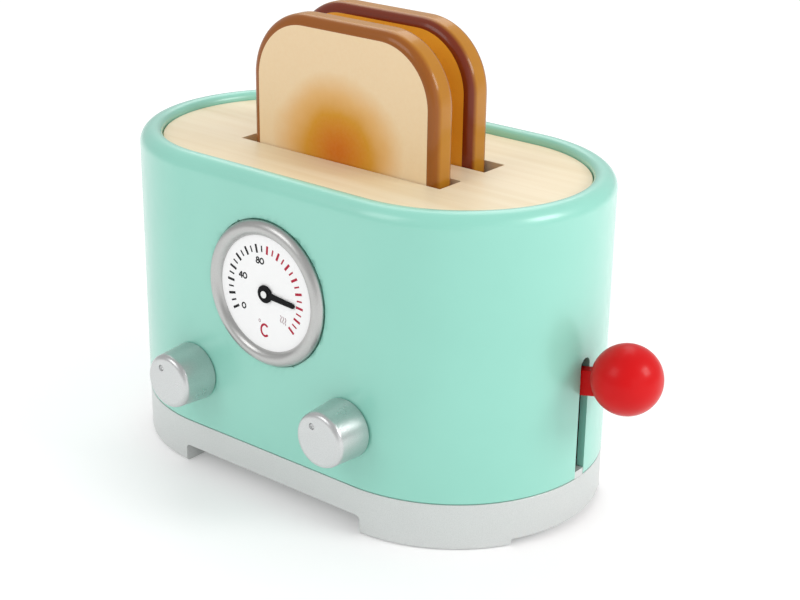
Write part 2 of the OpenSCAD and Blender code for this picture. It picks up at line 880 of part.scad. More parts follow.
placed() body_shell();
placed() base_plinth();
placed() top_panel();
placed() slot_divider();
placed() slot_guide_front();
placed() slot_guide_rear();
placed() guide_rod_left();
placed() guide_rod_right();
placed() lift_spring_left();
placed() lift_spring_right();
placed() guide_bush_left();
placed() guide_bush_right();
placed() toast_platform();
placed() lift_fork();
placed() fork_screws();
placed() drive_pin();
placed() lever_arm();
placed() lever_ball();
placed() pivot_bracket();
placed() pivot_pin();
placed() bracket_screws();
placed() base_screws();
placed() knob_left();
placed() knob_right();
placed() spindle_left();
placed() spindle_right();
placed() knob_retainer_left();
placed() knob_retainer_right();
placed() dial_ring();
placed() dial_face();
placed() dial_needle();
placed() needle_pin();
placed() toast_front();
placed() toast_rear();
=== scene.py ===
"""A wooden play toaster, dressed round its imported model.

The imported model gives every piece's place and size. This script makes the surfaces that show, each from a formula on
a grid, gives every piece its finish, and sets up a plain bright studio with the camera at the photograph's angle.
Lengths are in metres: +Z is up, +X points to the lever and -Y to the dial.
"""

import logging
import math
from dataclasses import dataclass, field
from enum import Enum

import bmesh
import bpy
import numpy as np
from mathutils import Matrix, Vector

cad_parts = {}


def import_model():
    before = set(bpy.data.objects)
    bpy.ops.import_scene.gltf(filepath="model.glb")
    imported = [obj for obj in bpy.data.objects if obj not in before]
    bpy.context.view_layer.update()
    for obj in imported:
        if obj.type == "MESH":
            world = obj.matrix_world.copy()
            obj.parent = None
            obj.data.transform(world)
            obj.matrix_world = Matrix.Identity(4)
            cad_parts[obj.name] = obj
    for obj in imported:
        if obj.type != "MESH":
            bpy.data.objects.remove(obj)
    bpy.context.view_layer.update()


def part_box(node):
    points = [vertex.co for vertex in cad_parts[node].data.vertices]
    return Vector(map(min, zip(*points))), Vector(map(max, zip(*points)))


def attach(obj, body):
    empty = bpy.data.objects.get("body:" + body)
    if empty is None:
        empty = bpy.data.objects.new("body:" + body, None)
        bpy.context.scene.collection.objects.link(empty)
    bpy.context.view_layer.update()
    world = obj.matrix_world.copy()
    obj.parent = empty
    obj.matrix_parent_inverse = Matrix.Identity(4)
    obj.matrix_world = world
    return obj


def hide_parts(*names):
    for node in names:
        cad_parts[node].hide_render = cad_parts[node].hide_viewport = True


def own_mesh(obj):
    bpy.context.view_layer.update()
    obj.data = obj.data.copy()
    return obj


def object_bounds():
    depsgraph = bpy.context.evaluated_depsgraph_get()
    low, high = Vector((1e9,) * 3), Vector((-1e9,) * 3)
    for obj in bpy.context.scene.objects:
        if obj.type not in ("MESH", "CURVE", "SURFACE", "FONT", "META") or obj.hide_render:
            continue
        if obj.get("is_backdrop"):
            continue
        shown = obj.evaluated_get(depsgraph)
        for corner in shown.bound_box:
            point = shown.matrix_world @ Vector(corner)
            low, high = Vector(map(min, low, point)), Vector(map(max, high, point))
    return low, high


log = logging.getLogger("toaster")

MM = 0.001
# How far a cutter reaches past the face that it cuts.
OVERCUT = 1 * MM
# The room round a rod, a dowel or the dial's face in its hole.
FIT = 0.05 * MM

Triple = tuple[float, float, float]
Colour = Triple
# A stroke's path, its width and whether its end joins its start.
Stroke = tuple[np.ndarray, float, bool]


class Axis(Enum):
    """The three axes, each with its place in a coordinate."""

    X = 0
    Y = 1
    Z = 2


def srgb(red: float, green: float, blue: float) -> Colour:
    """A colour written as 0 to 255 in sRGB, as linear light.

    Args:
        red, green, blue: the three parts, 0 to 255.

    Returns:
        The linear colour: c / 12.92 below 0.04045, else ((c + 0.055) / 1.055) to the power 2.4.
    """
    parts = np.array((red, green, blue)) / 255
    linear = np.where(parts <= 0.04045, parts / 12.92, ((parts + 0.055) / 1.055) ** 2.4)
    return tuple(float(c) for c in linear)


# ------------------------------------------------------------------------------------------------ shapes


def arc(centre: tuple[float, float], radius: float, start: float, stop: float, steps: int) -> np.ndarray:
    """Points on an arc, centre + radius (cos a, sin a), with a running evenly from start to stop.

    Args:
        centre: the arc's centre.
        radius: its radius.
        start, stop: the first and last angle in degrees.
        steps: the number of stretches between points.

    Returns:
        An array of steps + 1 rows of two.
    """
    a = np.radians(np.linspace(start, stop, steps + 1))
    return np.column_stack((centre[0] + radius * np.cos(a), centre[1] + radius * np.sin(a)))


def straight(first: tuple[float, float], last: tuple[float, float], steps: int) -> np.ndarray:
    """Points on a straight stretch, evenly spaced, without its two ends.

    Args:
        first, last: the ends, which belong to its neighbours.
        steps: the number of stretches.

    Returns:
        An array of steps - 1 rows of two.
    """
    t = np.linspace(0, 1, steps + 1)[1:-1, None]
    return (1 - t) * np.array(first) + t * np.array(last)


def grid_faces(rows: int, columns: int, wrap_rows: bool, wrap_columns: bool) -> np.ndarray:
    """The four corners of each face of a grid whose points are numbered row by row.

    Args:
        rows, columns: the grid's size in points.
        wrap_rows, wrap_columns: whether the last row or column joins the first.

    Returns:
        An array of faces by four.
    """
    r, c = np.meshgrid(np.arange(rows if wrap_rows else rows - 1),
                       np.arange(columns if wrap_columns else columns - 1), indexing="ij")
    next_r, next_c = (r + 1) % rows, (c + 1) % columns
    corners = (r * columns + c, r * columns + next_c, next_r * columns + next_c, next_r * columns + c)
    return np.stack(corners, axis=-1).reshape(-1, 4)


def mesh_object(name: str, points: np.ndarray, faces: list[list[int]]) -> bpy.types.Object:
    """A new object in the scene with these points and faces.

    Args:
        name: the piece's name.
        points: an array of points by three.
        faces: each face's corners.

    Returns:
        The object, at the origin.
    """
    mesh = bpy.data.meshes.new(name)
    mesh.from_pydata(points.tolist(), [], faces)
    mesh.update()
    piece = bpy.data.objects.new(name, mesh)
    bpy.context.scene.collection.objects.link(piece)
    return piece


def seal(piece: bpy.types.Object, gap: float = 0.001 * MM) -> bpy.types.Object:
    """Merges points that coincide, drops empty faces and turns all faces outwards.

    Args:
        piece: the object whose mesh is sealed.
        gap: points nearer than this are one.

    Returns:
        The same object.
    """
    shape = bmesh.new()
    shape.from_mesh(piece.data)
    bmesh.ops.remove_doubles(shape, verts=shape.verts, dist=gap)
    bmesh.ops.dissolve_degenerate(shape, dist=gap / 2, edges=shape.edges)
    bmesh.ops.recalc_face_normals(shape, faces=shape.faces)
    shape.to_mesh(piece.data)
    shape.free()
    return piece


def middle() -> Vector:
    """The middle of the body on the table, which every new piece is measured from."""
    lowest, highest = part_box("body_shell")
    return Vector(((lowest[0] + highest[0]) / 2, (lowest[1] + highest[1]) / 2, 0))


def box(node: str) -> tuple[Vector, Vector]:
    """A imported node's lowest and highest corners, measured from the middle of the body."""
    lowest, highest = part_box(node)
    return Vector(lowest) - middle(), Vector(highest) - middle()


def centre(node: str) -> Triple:
    """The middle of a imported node's box, measured from the middle of the body."""
    return tuple((low + high) / 2 for low, high in zip(*box(node)))


def extent(node: str) -> Triple:
    """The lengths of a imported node's box along X, Y and Z."""
    return tuple(high - low for low, high in zip(*box(node)))


def move(piece: bpy.types.Object, matrix: Matrix) -> bpy.types.Object:
    """Moves a piece's mesh, so that its object stays at the origin. Returns the piece."""
    piece.data.transform(matrix)
    return piece


def round_body(name: str, profile: np.ndarray, end_x: float, closed: bool, turns: int = 96,
               runs: int = 24) -> bpy.types.Object:
    """Carries a profile round the body's plan, which has straight sides and round ends.

    A point of the profile at distance r and height z comes to (c + r cos a, r sin a, z). On the round ends a turns
    while c stays at the end's centre; on the straight sides c runs while a stays.

    Args:
        name: the piece's name.
        profile: rows of distance from the middle line and height.
        end_x: where the round ends have their centres.
        closed: whether the profile's last point joins its first.
        turns: stretches round each end.
        runs: stretches along each side.

    Returns:
        The sealed object.
    """
    half_turn = np.linspace(-90, 90, turns, endpoint=False)
    along = np.linspace(end_x, -end_x, runs, endpoint=False)
    angle = np.radians(np.concatenate((half_turn, np.full(runs, 90.0), half_turn + 180, np.full(runs, 270.0))))
    centre = np.concatenate((np.full(turns, end_x), along, np.full(turns, -end_x), -along))
    distance, height = profile[None, :, 0], profile[None, :, 1]
    points = np.stack((centre[:, None] + distance * np.cos(angle)[:, None], distance * np.sin(angle)[:, None],
                       np.broadcast_to(height, (angle.size, len(profile)))), axis=-1)
    faces = grid_faces(angle.size, len(profile), True, closed)
    return seal(mesh_object(name, points.reshape(-1, 3), faces.tolist()))


def lathe(name: str, profile: np.ndarray, closed: bool, steps: int = 128) -> bpy.types.Object:
    """Turns a profile about the Z axis: (r cos a, r sin a, h) for every angle a.

    Args:
        name: the piece's name.
        profile: rows of radius and height.
        closed: whether the profile's last point joins its first; else it starts and ends on the axis.
        steps: stretches round the circle.

    Returns:
        The sealed object.
    """
    a = np.radians(np.linspace(0, 360, steps, endpoint=False))[:, None]
    radius, height = profile[None, :, 0], profile[None, :, 1]
    points = np.stack((radius * np.cos(a), radius * np.sin(a), np.broadcast_to(height, (steps, len(profile)))), axis=-1)
    return seal(mesh_object(name, points.reshape(-1, 3), grid_faces(steps, len(profile), True, closed).tolist()))


def facing_front(x: float, y: float, z: float) -> Matrix:
    """The matrix that turns a lathed shape's height to -Y, out of the front, and puts its foot at (x, y, z)."""
    return Matrix.Translation((x, y, z)) @ Matrix.Rotation(math.radians(90), 4, "X")


def prism(name: str, outline: np.ndarray, low: float, high: float, axis: Axis) -> bpy.types.Object:
    """Extrudes an outline along one axis, from low to high.

    Args:
        name: the piece's name.
        outline: rows of the other two coordinates, in X, Y, Z order.
        low, high: where the extrusion starts and ends.
        axis: the axis that it follows.

    Returns:
        The sealed object.
    """
    count = len(outline)
    ends = np.repeat((low, high), count)
    points = np.insert(np.tile(outline, (2, 1)), axis.value, ends, axis=1)
    sides = grid_faces(2, count, False, True).tolist()
    caps = [list(range(count)), list(range(count, 2 * count))]
    return seal(mesh_object(name, points, sides + caps))


def rectangle(x0: float, y0: float, x1: float, y1: float) -> np.ndarray:
    """A rectangle's four corners, from its low corner to its high one."""
    return np.array(((x0, y0), (x1, y0), (x1, y1), (x0, y1)))


def circle(x: float, y: float, radius: float, steps: int = 48) -> np.ndarray:
    """A circle's points, each of them once."""
    return arc((x, y), radius, 0, 360, steps)[:-1]


def bake_modifiers(piece: bpy.types.Object) -> bpy.types.Object:
    """Makes what the piece's modifiers do part of its mesh.

    Args:
        piece: the object, whose modifiers are removed after it.

    Returns:
        The piece.
    """
    bpy.context.view_layer.update()
    evaluated = piece.evaluated_get(bpy.context.evaluated_depsgraph_get())
    old, mesh = piece.data, bpy.data.meshes.new_from_object(evaluated)
    piece.modifiers.clear()
    piece.data = mesh
    mesh.name = piece.name
    bpy.data.meshes.remove(old)
    return piece


def carve(piece: bpy.types.Object, cutters: list[bpy.types.Object], join: bool = False) -> bpy.types.Object:
    """Cuts shapes out of a piece, or joins them to it, and removes them.

    Args:
        piece: the object that is cut.
        cutters: closed shapes.
        join: whether they are added and not taken away.

    Returns:
        The piece.
    """
    for cutter in cutters:
        cut = piece.modifiers.new("cut", "BOOLEAN")
        cut.operation = "UNION" if join else "DIFFERENCE"
        cut.solver = "EXACT"
        cut.object = cutter
    bake_modifiers(piece)
    for cutter in cutters:
        mesh = cutter.data
        bpy.data.objects.remove(cutter)
        bpy.data.meshes.remove(mesh)
    return seal(piece)


def shade_smoothly(piece: bpy.types.Object) -> None:
    """Marks every face of a piece as smooth."""
    piece.data.polygons.foreach_set("use_smooth", np.ones(len(piece.data.polygons), dtype=bool))


def weigh_normals(piece: bpy.types.Object) -> bpy.types.Object:
    """Leans a piece's normals to the larger of the faces that meet, bakes its modifiers and returns it."""
    piece.modifiers.new("shading", "WEIGHTED_NORMAL").keep_sharp = True
    return bake_modifiers(piece)


def soften(piece: bpy.types.Object, width: float, segments: int = 3, corner: float = 35) -> bpy.types.Object:
    """Rounds a piece's edges, as sanding and paint do, and shades it smoothly.

    Args:
        piece: the object.
        width: how far the rounding reaches from an edge.
        segments: the facets of the rounding.
        corner: edges that bend by less than this many degrees are left.

    Returns:
        The piece.
    """
    shade_smoothly(piece)
    bevel = piece.modifiers.new("edges", "BEVEL")
    bevel.width = width
    bevel.segments = segments
    bevel.limit_method = "ANGLE"
    bevel.angle_limit = math.radians(corner)
    bevel.miter_outer = "MITER_ARC"
    return weigh_normals(piece)


def smooth(piece: bpy.types.Object, corner: float = 40) -> bpy.types.Object:
    """Shades a piece smoothly, but for edges that bend by more than corner degrees, and keeps flat faces flat.

    Args:
        piece: the object, after its last cut.
        corner: the least bend of an edge that stays sharp, in degrees.

    Returns:
        The piece.
    """
    shade_smoothly(piece)
    piece.data.set_sharp_from_angle(angle=math.radians(corner))
    return weigh_normals(piece)


def ribbon(path: np.ndarray, width: float, thick: float, closed: bool) -> tuple[np.ndarray, np.ndarray]:
    """A flat stroke along a path in the plane, with square ends.

    At each point the stroke reaches half its width to each side along the path's normal, at height 0 and at height
    thick. The normal is the path's direction, taken from its neighbours, turned by a right angle.

    Args:
        path: rows of two.
        width: the stroke's width.
        thick: its height.
        closed: whether the path's end joins its start.

    Returns:
        The points, rows of three, and the faces' corners, rows of four.
    """
    ahead = np.roll(path, -1, axis=0) if closed else np.vstack((path[1:], 2 * path[-1] - path[-2]))
    behind = np.roll(path, 1, axis=0) if closed else np.vstack((2 * path[0] - path[1], path[:-1]))
    way = ahead - behind
    way /= np.linalg.norm(way, axis=1, keepdims=True)
    side = np.column_stack((-way[:, 1], way[:, 0])) * width / 2
    section = [np.column_stack((path + s * side, np.full(len(path), h)))
               for s, h in ((1, 0.0), (1, thick), (-1, thick), (-1, 0.0))]
    points = np.stack(section, axis=1).reshape(-1, 3)
    faces = grid_faces(len(path), len(section), closed, True)
    if not closed:
        last = len(section) * (len(path) - 1)
        faces = np.vstack((faces, (3, 2, 1, 0), (last, last + 1, last + 2, last + 3)))
    return points, faces


def print_strokes(name: str, strokes: list[Stroke], thick: float) -> bpy.types.Object:
    """All strokes of one ink as one piece, lying flat with its front up.

    Args:
        name: the piece's name.
        strokes: the strokes.
        thick: how far the ink stands up.

    Returns:
        The sealed object.
    """
    points, faces, count = [], [], 0
    for path, width, closed in strokes:
        part, part_faces = ribbon(path, width, thick, closed)
        points.append(part)
        faces.append(part_faces + count)
        count += len(part)
    return seal(mesh_object(name, np.vstack(points), np.vstack(faces).tolist()), gap=0.0001 * MM)


# ---------------------------------------------------------------------------------------------- finishes

# Cloudy noise lies mostly between these two values.
NOISE_LOW, NOISE_HIGH = 0.3, 0.7


class Operation(Enum):
    """The sums that a material does on two values."""

    ADD = "ADD"
    MULTIPLY = "MULTIPLY"


class Nodes:
    """Writes the nodes of one material, all on the piece's own object coordinates."""

    def __init__(self, name: str) -> None:
        """Starts a material that has one Principled shader.

        Args:
            name: the material's name.
        """
        self.material = bpy.data.materials.new(name)
        self.material.use_nodes = True
        self.tree = self.material.node_tree
        self.tree.nodes.clear()
        self.output = self.tree.nodes.new("ShaderNodeOutputMaterial")
        self.shader = self.tree.nodes.new("ShaderNodeBsdfPrincipled")
        self.tree.links.new(self.shader.outputs[0], self.output.inputs[0])
        self.place = self.tree.nodes.new("ShaderNodeTexCoord").outputs["Object"]

    def set(self, **values: float | Colour) -> None:
        """Sets the shader's own sockets.

        Args:
            values: a number or a colour for each socket, whose name is written with _ for a space.
        """
        for key, value in values.items():
            socket = self.shader.inputs[key.replace("_", " ")]
            socket.default_value = (*value, 1.0) if isinstance(value, tuple) else value

    def feed(self, socket: str, source: bpy.types.NodeSocket) -> None:
        """Links a pattern to one of the shader's sockets."""
        self.tree.links.new(source, self.shader.inputs[socket])

    def stretched(self, scale: Triple, centre: Triple = (0, 0, 0)) -> bpy.types.NodeSocket:
        """The place, measured from a centre and stretched along each axis: (place - centre) * scale.

        Args:
            scale: what each axis is multiplied by; 0 leaves an axis out.
            centre: the place that it is measured from.

        Returns:
            The stretched place.
        """
        node = self.tree.nodes.new("ShaderNodeMapping")
        node.inputs["Scale"].default_value = scale
        node.inputs["Location"].default_value = tuple(-c * s for c, s in zip(centre, scale))
        self.tree.links.new(self.place, node.inputs["Vector"])
        return node.outputs[0]

    def distance(self, scale: Triple, centre: Triple) -> bpy.types.NodeSocket:
        """The distance from a centre after stretching: the length of (place - centre) * scale.

        Args:
            scale: what each axis is multiplied by; 0 leaves an axis out.
            centre: the place that it is measured from.

        Returns:
            The distance, in the stretched unit.
        """
        node = self.tree.nodes.new("ShaderNodeVectorMath")
        node.operation = "LENGTH"
        self.tree.links.new(self.stretched(scale, centre), node.inputs[0])
        return node.outputs["Value"]

    def noise(self, scale: float, detail: float = 2, where: bpy.types.NodeSocket | None = None) -> bpy.types.NodeSocket:
        """Cloudy noise from 0 to 1.

        Args:
            scale: patches to the metre, or to the unit of where.
            detail: how many finer layers it has.
            where: the place that it reads, or None for the object's own.

        Returns:
            The noise's value.
        """
        node = self.tree.nodes.new("ShaderNodeTexNoise")
        node.inputs["Scale"].default_value = scale
        node.inputs["Detail"].default_value = detail
        self.tree.links.new(where or self.place, node.inputs["Vector"])
        return node.outputs[0]

    def ramp(self, value: bpy.types.NodeSocket, stops: list[tuple[float, Colour]]) -> bpy.types.NodeSocket:
        """A colour that runs through stops as a value rises.

        Args:
            value: the value.
            stops: each stop's value and colour.

        Returns:
            The colour.
        """
        node = self.tree.nodes.new("ShaderNodeValToRGB")
        elements = node.color_ramp.elements
        while len(elements) < len(stops):
            elements.new(0.5)
        for element, (position, colour) in zip(elements, stops):
            element.position = position
            element.color = (*colour, 1)
        self.tree.links.new(value, node.inputs[0])
        return node.outputs[0]

    def clouded(self, scale: float, detail: float, first: Colour, last: Colour) -> bpy.types.NodeSocket:
        """A colour that drifts between two with a cloudy noise of this scale and detail."""
        return self.ramp(self.noise(scale, detail), [(NOISE_LOW, first), (NOISE_HIGH, last)])

    def between(self, value: bpy.types.NodeSocket, low: float, high: float, first: float = 0,
                last: float = 1) -> bpy.types.NodeSocket:
        """Maps a value's run from low to high to a run from first to last, and holds it there outside.

        Args:
            value: the value.
            low, high: where its run starts and ends.
            first, last: what it becomes there.

        Returns:
            The mapped value.
        """
        node = self.tree.nodes.new("ShaderNodeMapRange")
        for socket, number in zip(node.inputs[1:5], (low, high, first, last)):
            socket.default_value = number
        self.tree.links.new(value, node.inputs[0])
        return node.outputs[0]

    def rub(self, pattern: bpy.types.NodeSocket, roughness: float, less: float, more: float) -> None:
        """Lets the shader's roughness drift with a noise, from less below a roughness to more above it."""
        self.feed("Roughness", self.between(pattern, NOISE_LOW, NOISE_HIGH, roughness - less, roughness + more))

    def maths(self, operation: Operation, first: bpy.types.NodeSocket,
              second: bpy.types.NodeSocket | float) -> bpy.types.NodeSocket:
        """One sum on two values, or on a value and a number.

        Args:
            operation: which sum.
            first: the value.
            second: the other value or the number.

        Returns:
            The result.
        """
        node = self.tree.nodes.new("ShaderNodeMath")
        node.operation = operation.value
        self.tree.links.new(first, node.inputs[0])
        if isinstance(second, float):
            node.inputs[1].default_value = second
        else:
            self.tree.links.new(second, node.inputs[1])
        return node.outputs[0]

    def blend(self, factor: bpy.types.NodeSocket, first: bpy.types.NodeSocket | Colour,
              second: bpy.types.NodeSocket | Colour) -> bpy.types.NodeSocket:
        """A colour between two.

        Args:
            factor: 0 for the first, 1 for the second.
            first, second: the colours, each a pattern or one colour.

        Returns:
            The blended colour.
        """
        node = self.tree.nodes.new("ShaderNodeMix")
        node.data_type = "RGBA"
        self.tree.links.new(factor, node.inputs[0])
        for socket, colour in ((node.inputs[6], first), (node.inputs[7], second)):
            if isinstance(colour, tuple):
                socket.default_value = (*colour, 1)
            else:
                self.tree.links.new(colour, socket)
        return node.outputs[2]

    def relief(self, *layers: tuple[bpy.types.NodeSocket, float]) -> None:
        """Raises the surface by patterns, one on top of the other.

        Args:
            layers: each pattern, and its depth in metres.
        """
        normal = None
        for height, depth in layers:
            node = self.tree.nodes.new("ShaderNodeBump")
            node.inputs["Distance"].default_value = depth
            node.inputs["Strength"].default_value = 1
            self.tree.links.new(height, node.inputs["Height"])
            if normal is not None:
                self.tree.links.new(normal, node.inputs["Normal"])
            normal = node.outputs[0]
        self.feed("Normal", normal)


@dataclass(frozen=True)
class Paint:
    """Sprayed paint on wood: one colour with faint clouds, and a fine orange-peel surface over slow waves.

    Scales are patches to the metre, and peel is the depth of the orange peel; the waves are three times as deep.
    """

    name: str
    colour: Colour
    shade: Colour
    roughness: float = 0.4
    coat: float = 0.0
    coat_roughness: float = 0.1
    peel: float = 0.004 * MM
    specular: float = 0.5
    cloud_scale: float = 28.0
    rub_scale: float = 160.0
    peel_scale: float = 900.0
    wave_scale: float = 120.0

    def tone(self, nodes: Nodes) -> bpy.types.NodeSocket:
        """The paint's colour with its faint clouds, for the base colour."""
        return nodes.clouded(self.cloud_scale, 3, self.shade, self.colour)

    def material(self) -> bpy.types.Material:
        """Writes the paint's nodes.

        Returns:
            The material.
        """
        nodes = Nodes(self.name)
        nodes.feed("Base Color", self.tone(nodes))
        nodes.rub(nodes.noise(self.rub_scale, 4), self.roughness, less=0.03, more=0.04)
        nodes.set(Coat_Weight=self.coat, Coat_Roughness=self.coat_roughness, Specular_IOR_Level=self.specular)
        nodes.relief((nodes.noise(self.peel_scale, 1), self.peel), (nodes.noise(self.wave_scale, 2), 3 * self.peel))
        return nodes.material


@dataclass(frozen=True, kw_only=True)
class Crust(Paint):
    """Glossy crust paint, browner on the rounded edges that lead to a slice's two faces.

    It browns with the distance from the slice's middle plane, as shares of half its thickness.
    """

    middle_y: float
    half_thick: float
    edge: Colour
    brown_from: float = 0.42
    brown_full: float = 0.72
    roughness: float = 0.32
    coat: float = 0.35
    coat_roughness: float = 0.09
    peel: float = 0.003 * MM
    specular: float = 0.22

    def tone(self, nodes: Nodes) -> bpy.types.NodeSocket:
        """The crust's colour: the clouded paint in the middle and the edge's brown towards the faces.

        Args:
            nodes: what writes the material.

        Returns:
            The colour.
        """
        out = nodes.distance((0.0, 1 / self.half_thick, 0.0), (0.0, self.middle_y, 0.0))
        browned = nodes.between(out, self.brown_from, self.brown_full, 0.0, 1.0)
        return nodes.blend(browned, super().tone(nodes), self.edge)


@dataclass(frozen=True)
class SilverPaint:
    """Silver paint: a metallic film with fine flakes that catch the light one by one.

    flake_low and flake_high are the noise's values that have the dark and the full colour.
    """

    name: str
    colour: Colour
    dark: Colour
    roughness: float = 0.38
    metallic: float = 0.7
    ripple: float = 0.006 * MM
    ripple_scale: float = 240.0
    rub_scale: float = 90.0
    flake_scale: float = 3800.0
    flake_deep: float = 0.0016 * MM
    flake_low: float = 0.28
    flake_high: float = 0.62
    coat: float = 0.25
    coat_roughness: float = 0.3

    def material(self) -> bpy.types.Material:
        """Writes the paint's nodes.

        Returns:
            The material.
        """
        nodes = Nodes(self.name)
        flakes = nodes.noise(self.flake_scale, 0)
        nodes.feed("Base Color", nodes.ramp(flakes, [(self.flake_low, self.dark), (self.flake_high, self.colour)]))
        nodes.rub(nodes.noise(self.rub_scale, 3), self.roughness, less=0.04, more=0.05)
        nodes.set(Metallic=self.metallic, Coat_Weight=self.coat, Coat_Roughness=self.coat_roughness)
        nodes.relief((flakes, self.flake_deep), (nodes.noise(self.ripple_scale, 2), self.ripple))
        return nodes.material


@dataclass(frozen=True)
class Wood:
    """Fine-grained wood: long streaks along one axis, soft year rings and short pores.

    grain is the streaks' scale on each axis. A ring is ring_wide streaks wide, and pore_fine pores go into a streak.
    """

    name: str
    light: Colour
    dark: Colour
    grain: Triple = (9.0, 210.0, 210.0)
    roughness: float = 0.5
    coat: float = 0.0
    coat_roughness: float = 0.25
    ring_wide: float = 7.0
    ring_share: float = 0.45
    dark_below: float = 0.36
    light_above: float = 0.60
    pore_fine: float = 6.0
    pore_from: float = 0.70
    pore_full: float = 0.78
    pore_dark: float = 0.3
    pore_deep: float = 0.02 * MM
    streak_deep: float = 0.012 * MM

    def material(self) -> bpy.types.Material:
        """Writes the wood's nodes.

        Returns:
            The material.
        """
        nodes = Nodes(self.name)
        streaks = nodes.noise(1.0, 5, nodes.stretched(self.grain))
        rings = nodes.noise(1.0, 2, nodes.stretched(tuple(g / self.ring_wide for g in self.grain)))
        figure = nodes.maths(Operation.ADD, nodes.maths(Operation.MULTIPLY, streaks, 1 - self.ring_share),
                             nodes.maths(Operation.MULTIPLY, rings, self.ring_share))
        tone = nodes.ramp(figure, [(self.dark_below, self.dark), (self.light_above, self.light)])
        pores = nodes.noise(1.0, 1, nodes.stretched(tuple(g * self.pore_fine for g in self.grain)))
        darker = nodes.between(pores, self.pore_from, self.pore_full, 0.0, self.pore_dark)
        nodes.feed("Base Color", nodes.blend(darker, tone, self.dark))
        nodes.rub(streaks, self.roughness, less=0.05, more=0.07)
        nodes.set(Coat_Weight=self.coat, Coat_Roughness=self.coat_roughness)
        unpitted = nodes.between(pores, self.pore_from, self.pore_full, 1.0, 0.0)
        nodes.relief((streaks, self.streak_deep), (unpitted, self.pore_deep))
        return nodes.material


@dataclass(frozen=True)
class Toasted:
    """The printed face of a slice: cream, golden round a spot and browned at its middle, with a faint crumb.

    The colour depends on the distance from the spot's centre, as a share of reach_x and reach_z. It is brown up to
    the first stop, and turns gold, warm and cream by the three others. That distance wavers by ragged to each side.
    """

    name: str
    centre: tuple[float, float]
    cream: Colour = srgb(241, 214, 175)
    warm: Colour = srgb(230, 182, 118)
    gold: Colour = srgb(214, 150, 40)
    brown: Colour = srgb(208, 112, 14)
    reach_x: float = 38.5 * MM
    reach_z: float = 35 * MM
    stops: tuple[float, float, float, float] = (0.12, 0.44, 0.63, 0.88)
    ragged: float = 0.05
    ragged_scale: float = 45.0
    crumb_scale: float = 700.0
    crumb_from: float = 0.35
    crumb_tint: float = 0.08
    crumb_deep: float = 0.006 * MM
    dent_scale: float = 130.0
    dent_deep: float = 0.012 * MM
    roughness: float = 0.5
    specular: float = 0.25

    def material(self) -> bpy.types.Material:
        """Writes the face's nodes.

        Returns:
            The material.
        """
        nodes = Nodes(self.name)
        x, z = self.centre
        out = nodes.distance((1 / self.reach_x, 0.0, 1 / self.reach_z), (x, 0.0, z))
        rag = nodes.between(nodes.noise(self.ragged_scale, 3), NOISE_LOW, NOISE_HIGH, -self.ragged, self.ragged)
        colours = (self.brown, self.brown, self.gold, self.warm, self.cream)
        tone = nodes.ramp(nodes.maths(Operation.ADD, out, rag), list(zip((0.0, *self.stops), colours)))
        crumb = nodes.noise(self.crumb_scale, 3)
        tint = nodes.between(crumb, self.crumb_from, NOISE_HIGH, 0.0, self.crumb_tint)
        nodes.feed("Base Color", nodes.blend(tint, tone, self.warm))
        nodes.rub(crumb, self.roughness, less=0.04, more=0.06)
        nodes.set(Specular_IOR_Level=self.specular)
        nodes.relief((crumb, self.crumb_deep), (nodes.noise(self.dent_scale, 2), self.dent_deep))
        return nodes.material


@dataclass(frozen=True)
class Plastic:
    """Moulded plastic: one colour, a fine matt grain and a slight unevenness."""

    name: str
    colour: Colour
    shade: Colour
    roughness: float = 0.45
    specular: float = 0.5
    cloud_scale: float = 60.0
    grain_scale: float = 2600.0
    grain_deep: float = 0.002 * MM
    wave_scale: float = 70.0
    wave_deep: float = 0.006 * MM

    def material(self) -> bpy.types.Material:
        """Writes the plastic's nodes.

        Returns:
            The material.
        """
        nodes = Nodes(self.name)
        nodes.set(Specular_IOR_Level=self.specular)
        nodes.feed("Base Color", nodes.clouded(self.cloud_scale, 2, self.shade, self.colour))
        grain = nodes.noise(self.grain_scale, 1)
        nodes.rub(grain, self.roughness, less=0.04, more=0.04)
        nodes.relief((grain, self.grain_deep), (nodes.noise(self.wave_scale, 2), self.wave_deep))
        return nodes.material


@dataclass(frozen=True)
class Metal:
    """Bare metal that was drawn or ground along one axis. lines is the marks' scale on each axis."""

    name: str
    colour: Colour
    dull: Colour
    lines: Triple = (3000.0, 3000.0, 60.0)
    roughness: float = 0.3
    cloud_scale: float = 110.0
    line_deep: float = 0.001 * MM

    def material(self) -> bpy.types.Material:
        """Writes the metal's nodes.

        Returns:
            The material.
        """
        nodes = Nodes(self.name)
        marks = nodes.noise(1.0, 2, nodes.stretched(self.lines))
        nodes.feed("Base Color", nodes.clouded(self.cloud_scale, 3, self.dull, self.colour))
        nodes.rub(marks, self.roughness, less=0.07, more=0.1)
        nodes.set(Metallic=1.0)
        nodes.relief((marks, self.line_deep))
        return nodes.material


@dataclass(frozen=True)
class Ink:
    """Screen-printed ink, slightly thinner in places."""

    name: str
    colour: Colour
    thin: Colour
    roughness: float = 0.45
    specular: float = 0.15
    thin_scale: float = 1500.0
    thin_below: float = 0.25
    full_above: float = 0.6
    rub_scale: float = 900.0

    def material(self) -> bpy.types.Material:
        """Writes the ink's nodes.

        Returns:
            The material.
        """
        nodes = Nodes(self.name)
        cover = nodes.noise(self.thin_scale, 2)
        nodes.feed("Base Color", nodes.ramp(cover, [(self.thin_below, self.thin), (self.full_above, self.colour)]))
        nodes.rub(nodes.noise(self.rub_scale, 1), self.roughness, less=0.05, more=0.1)
        nodes.set(Specular_IOR_Level=self.specular)
        return nodes.material


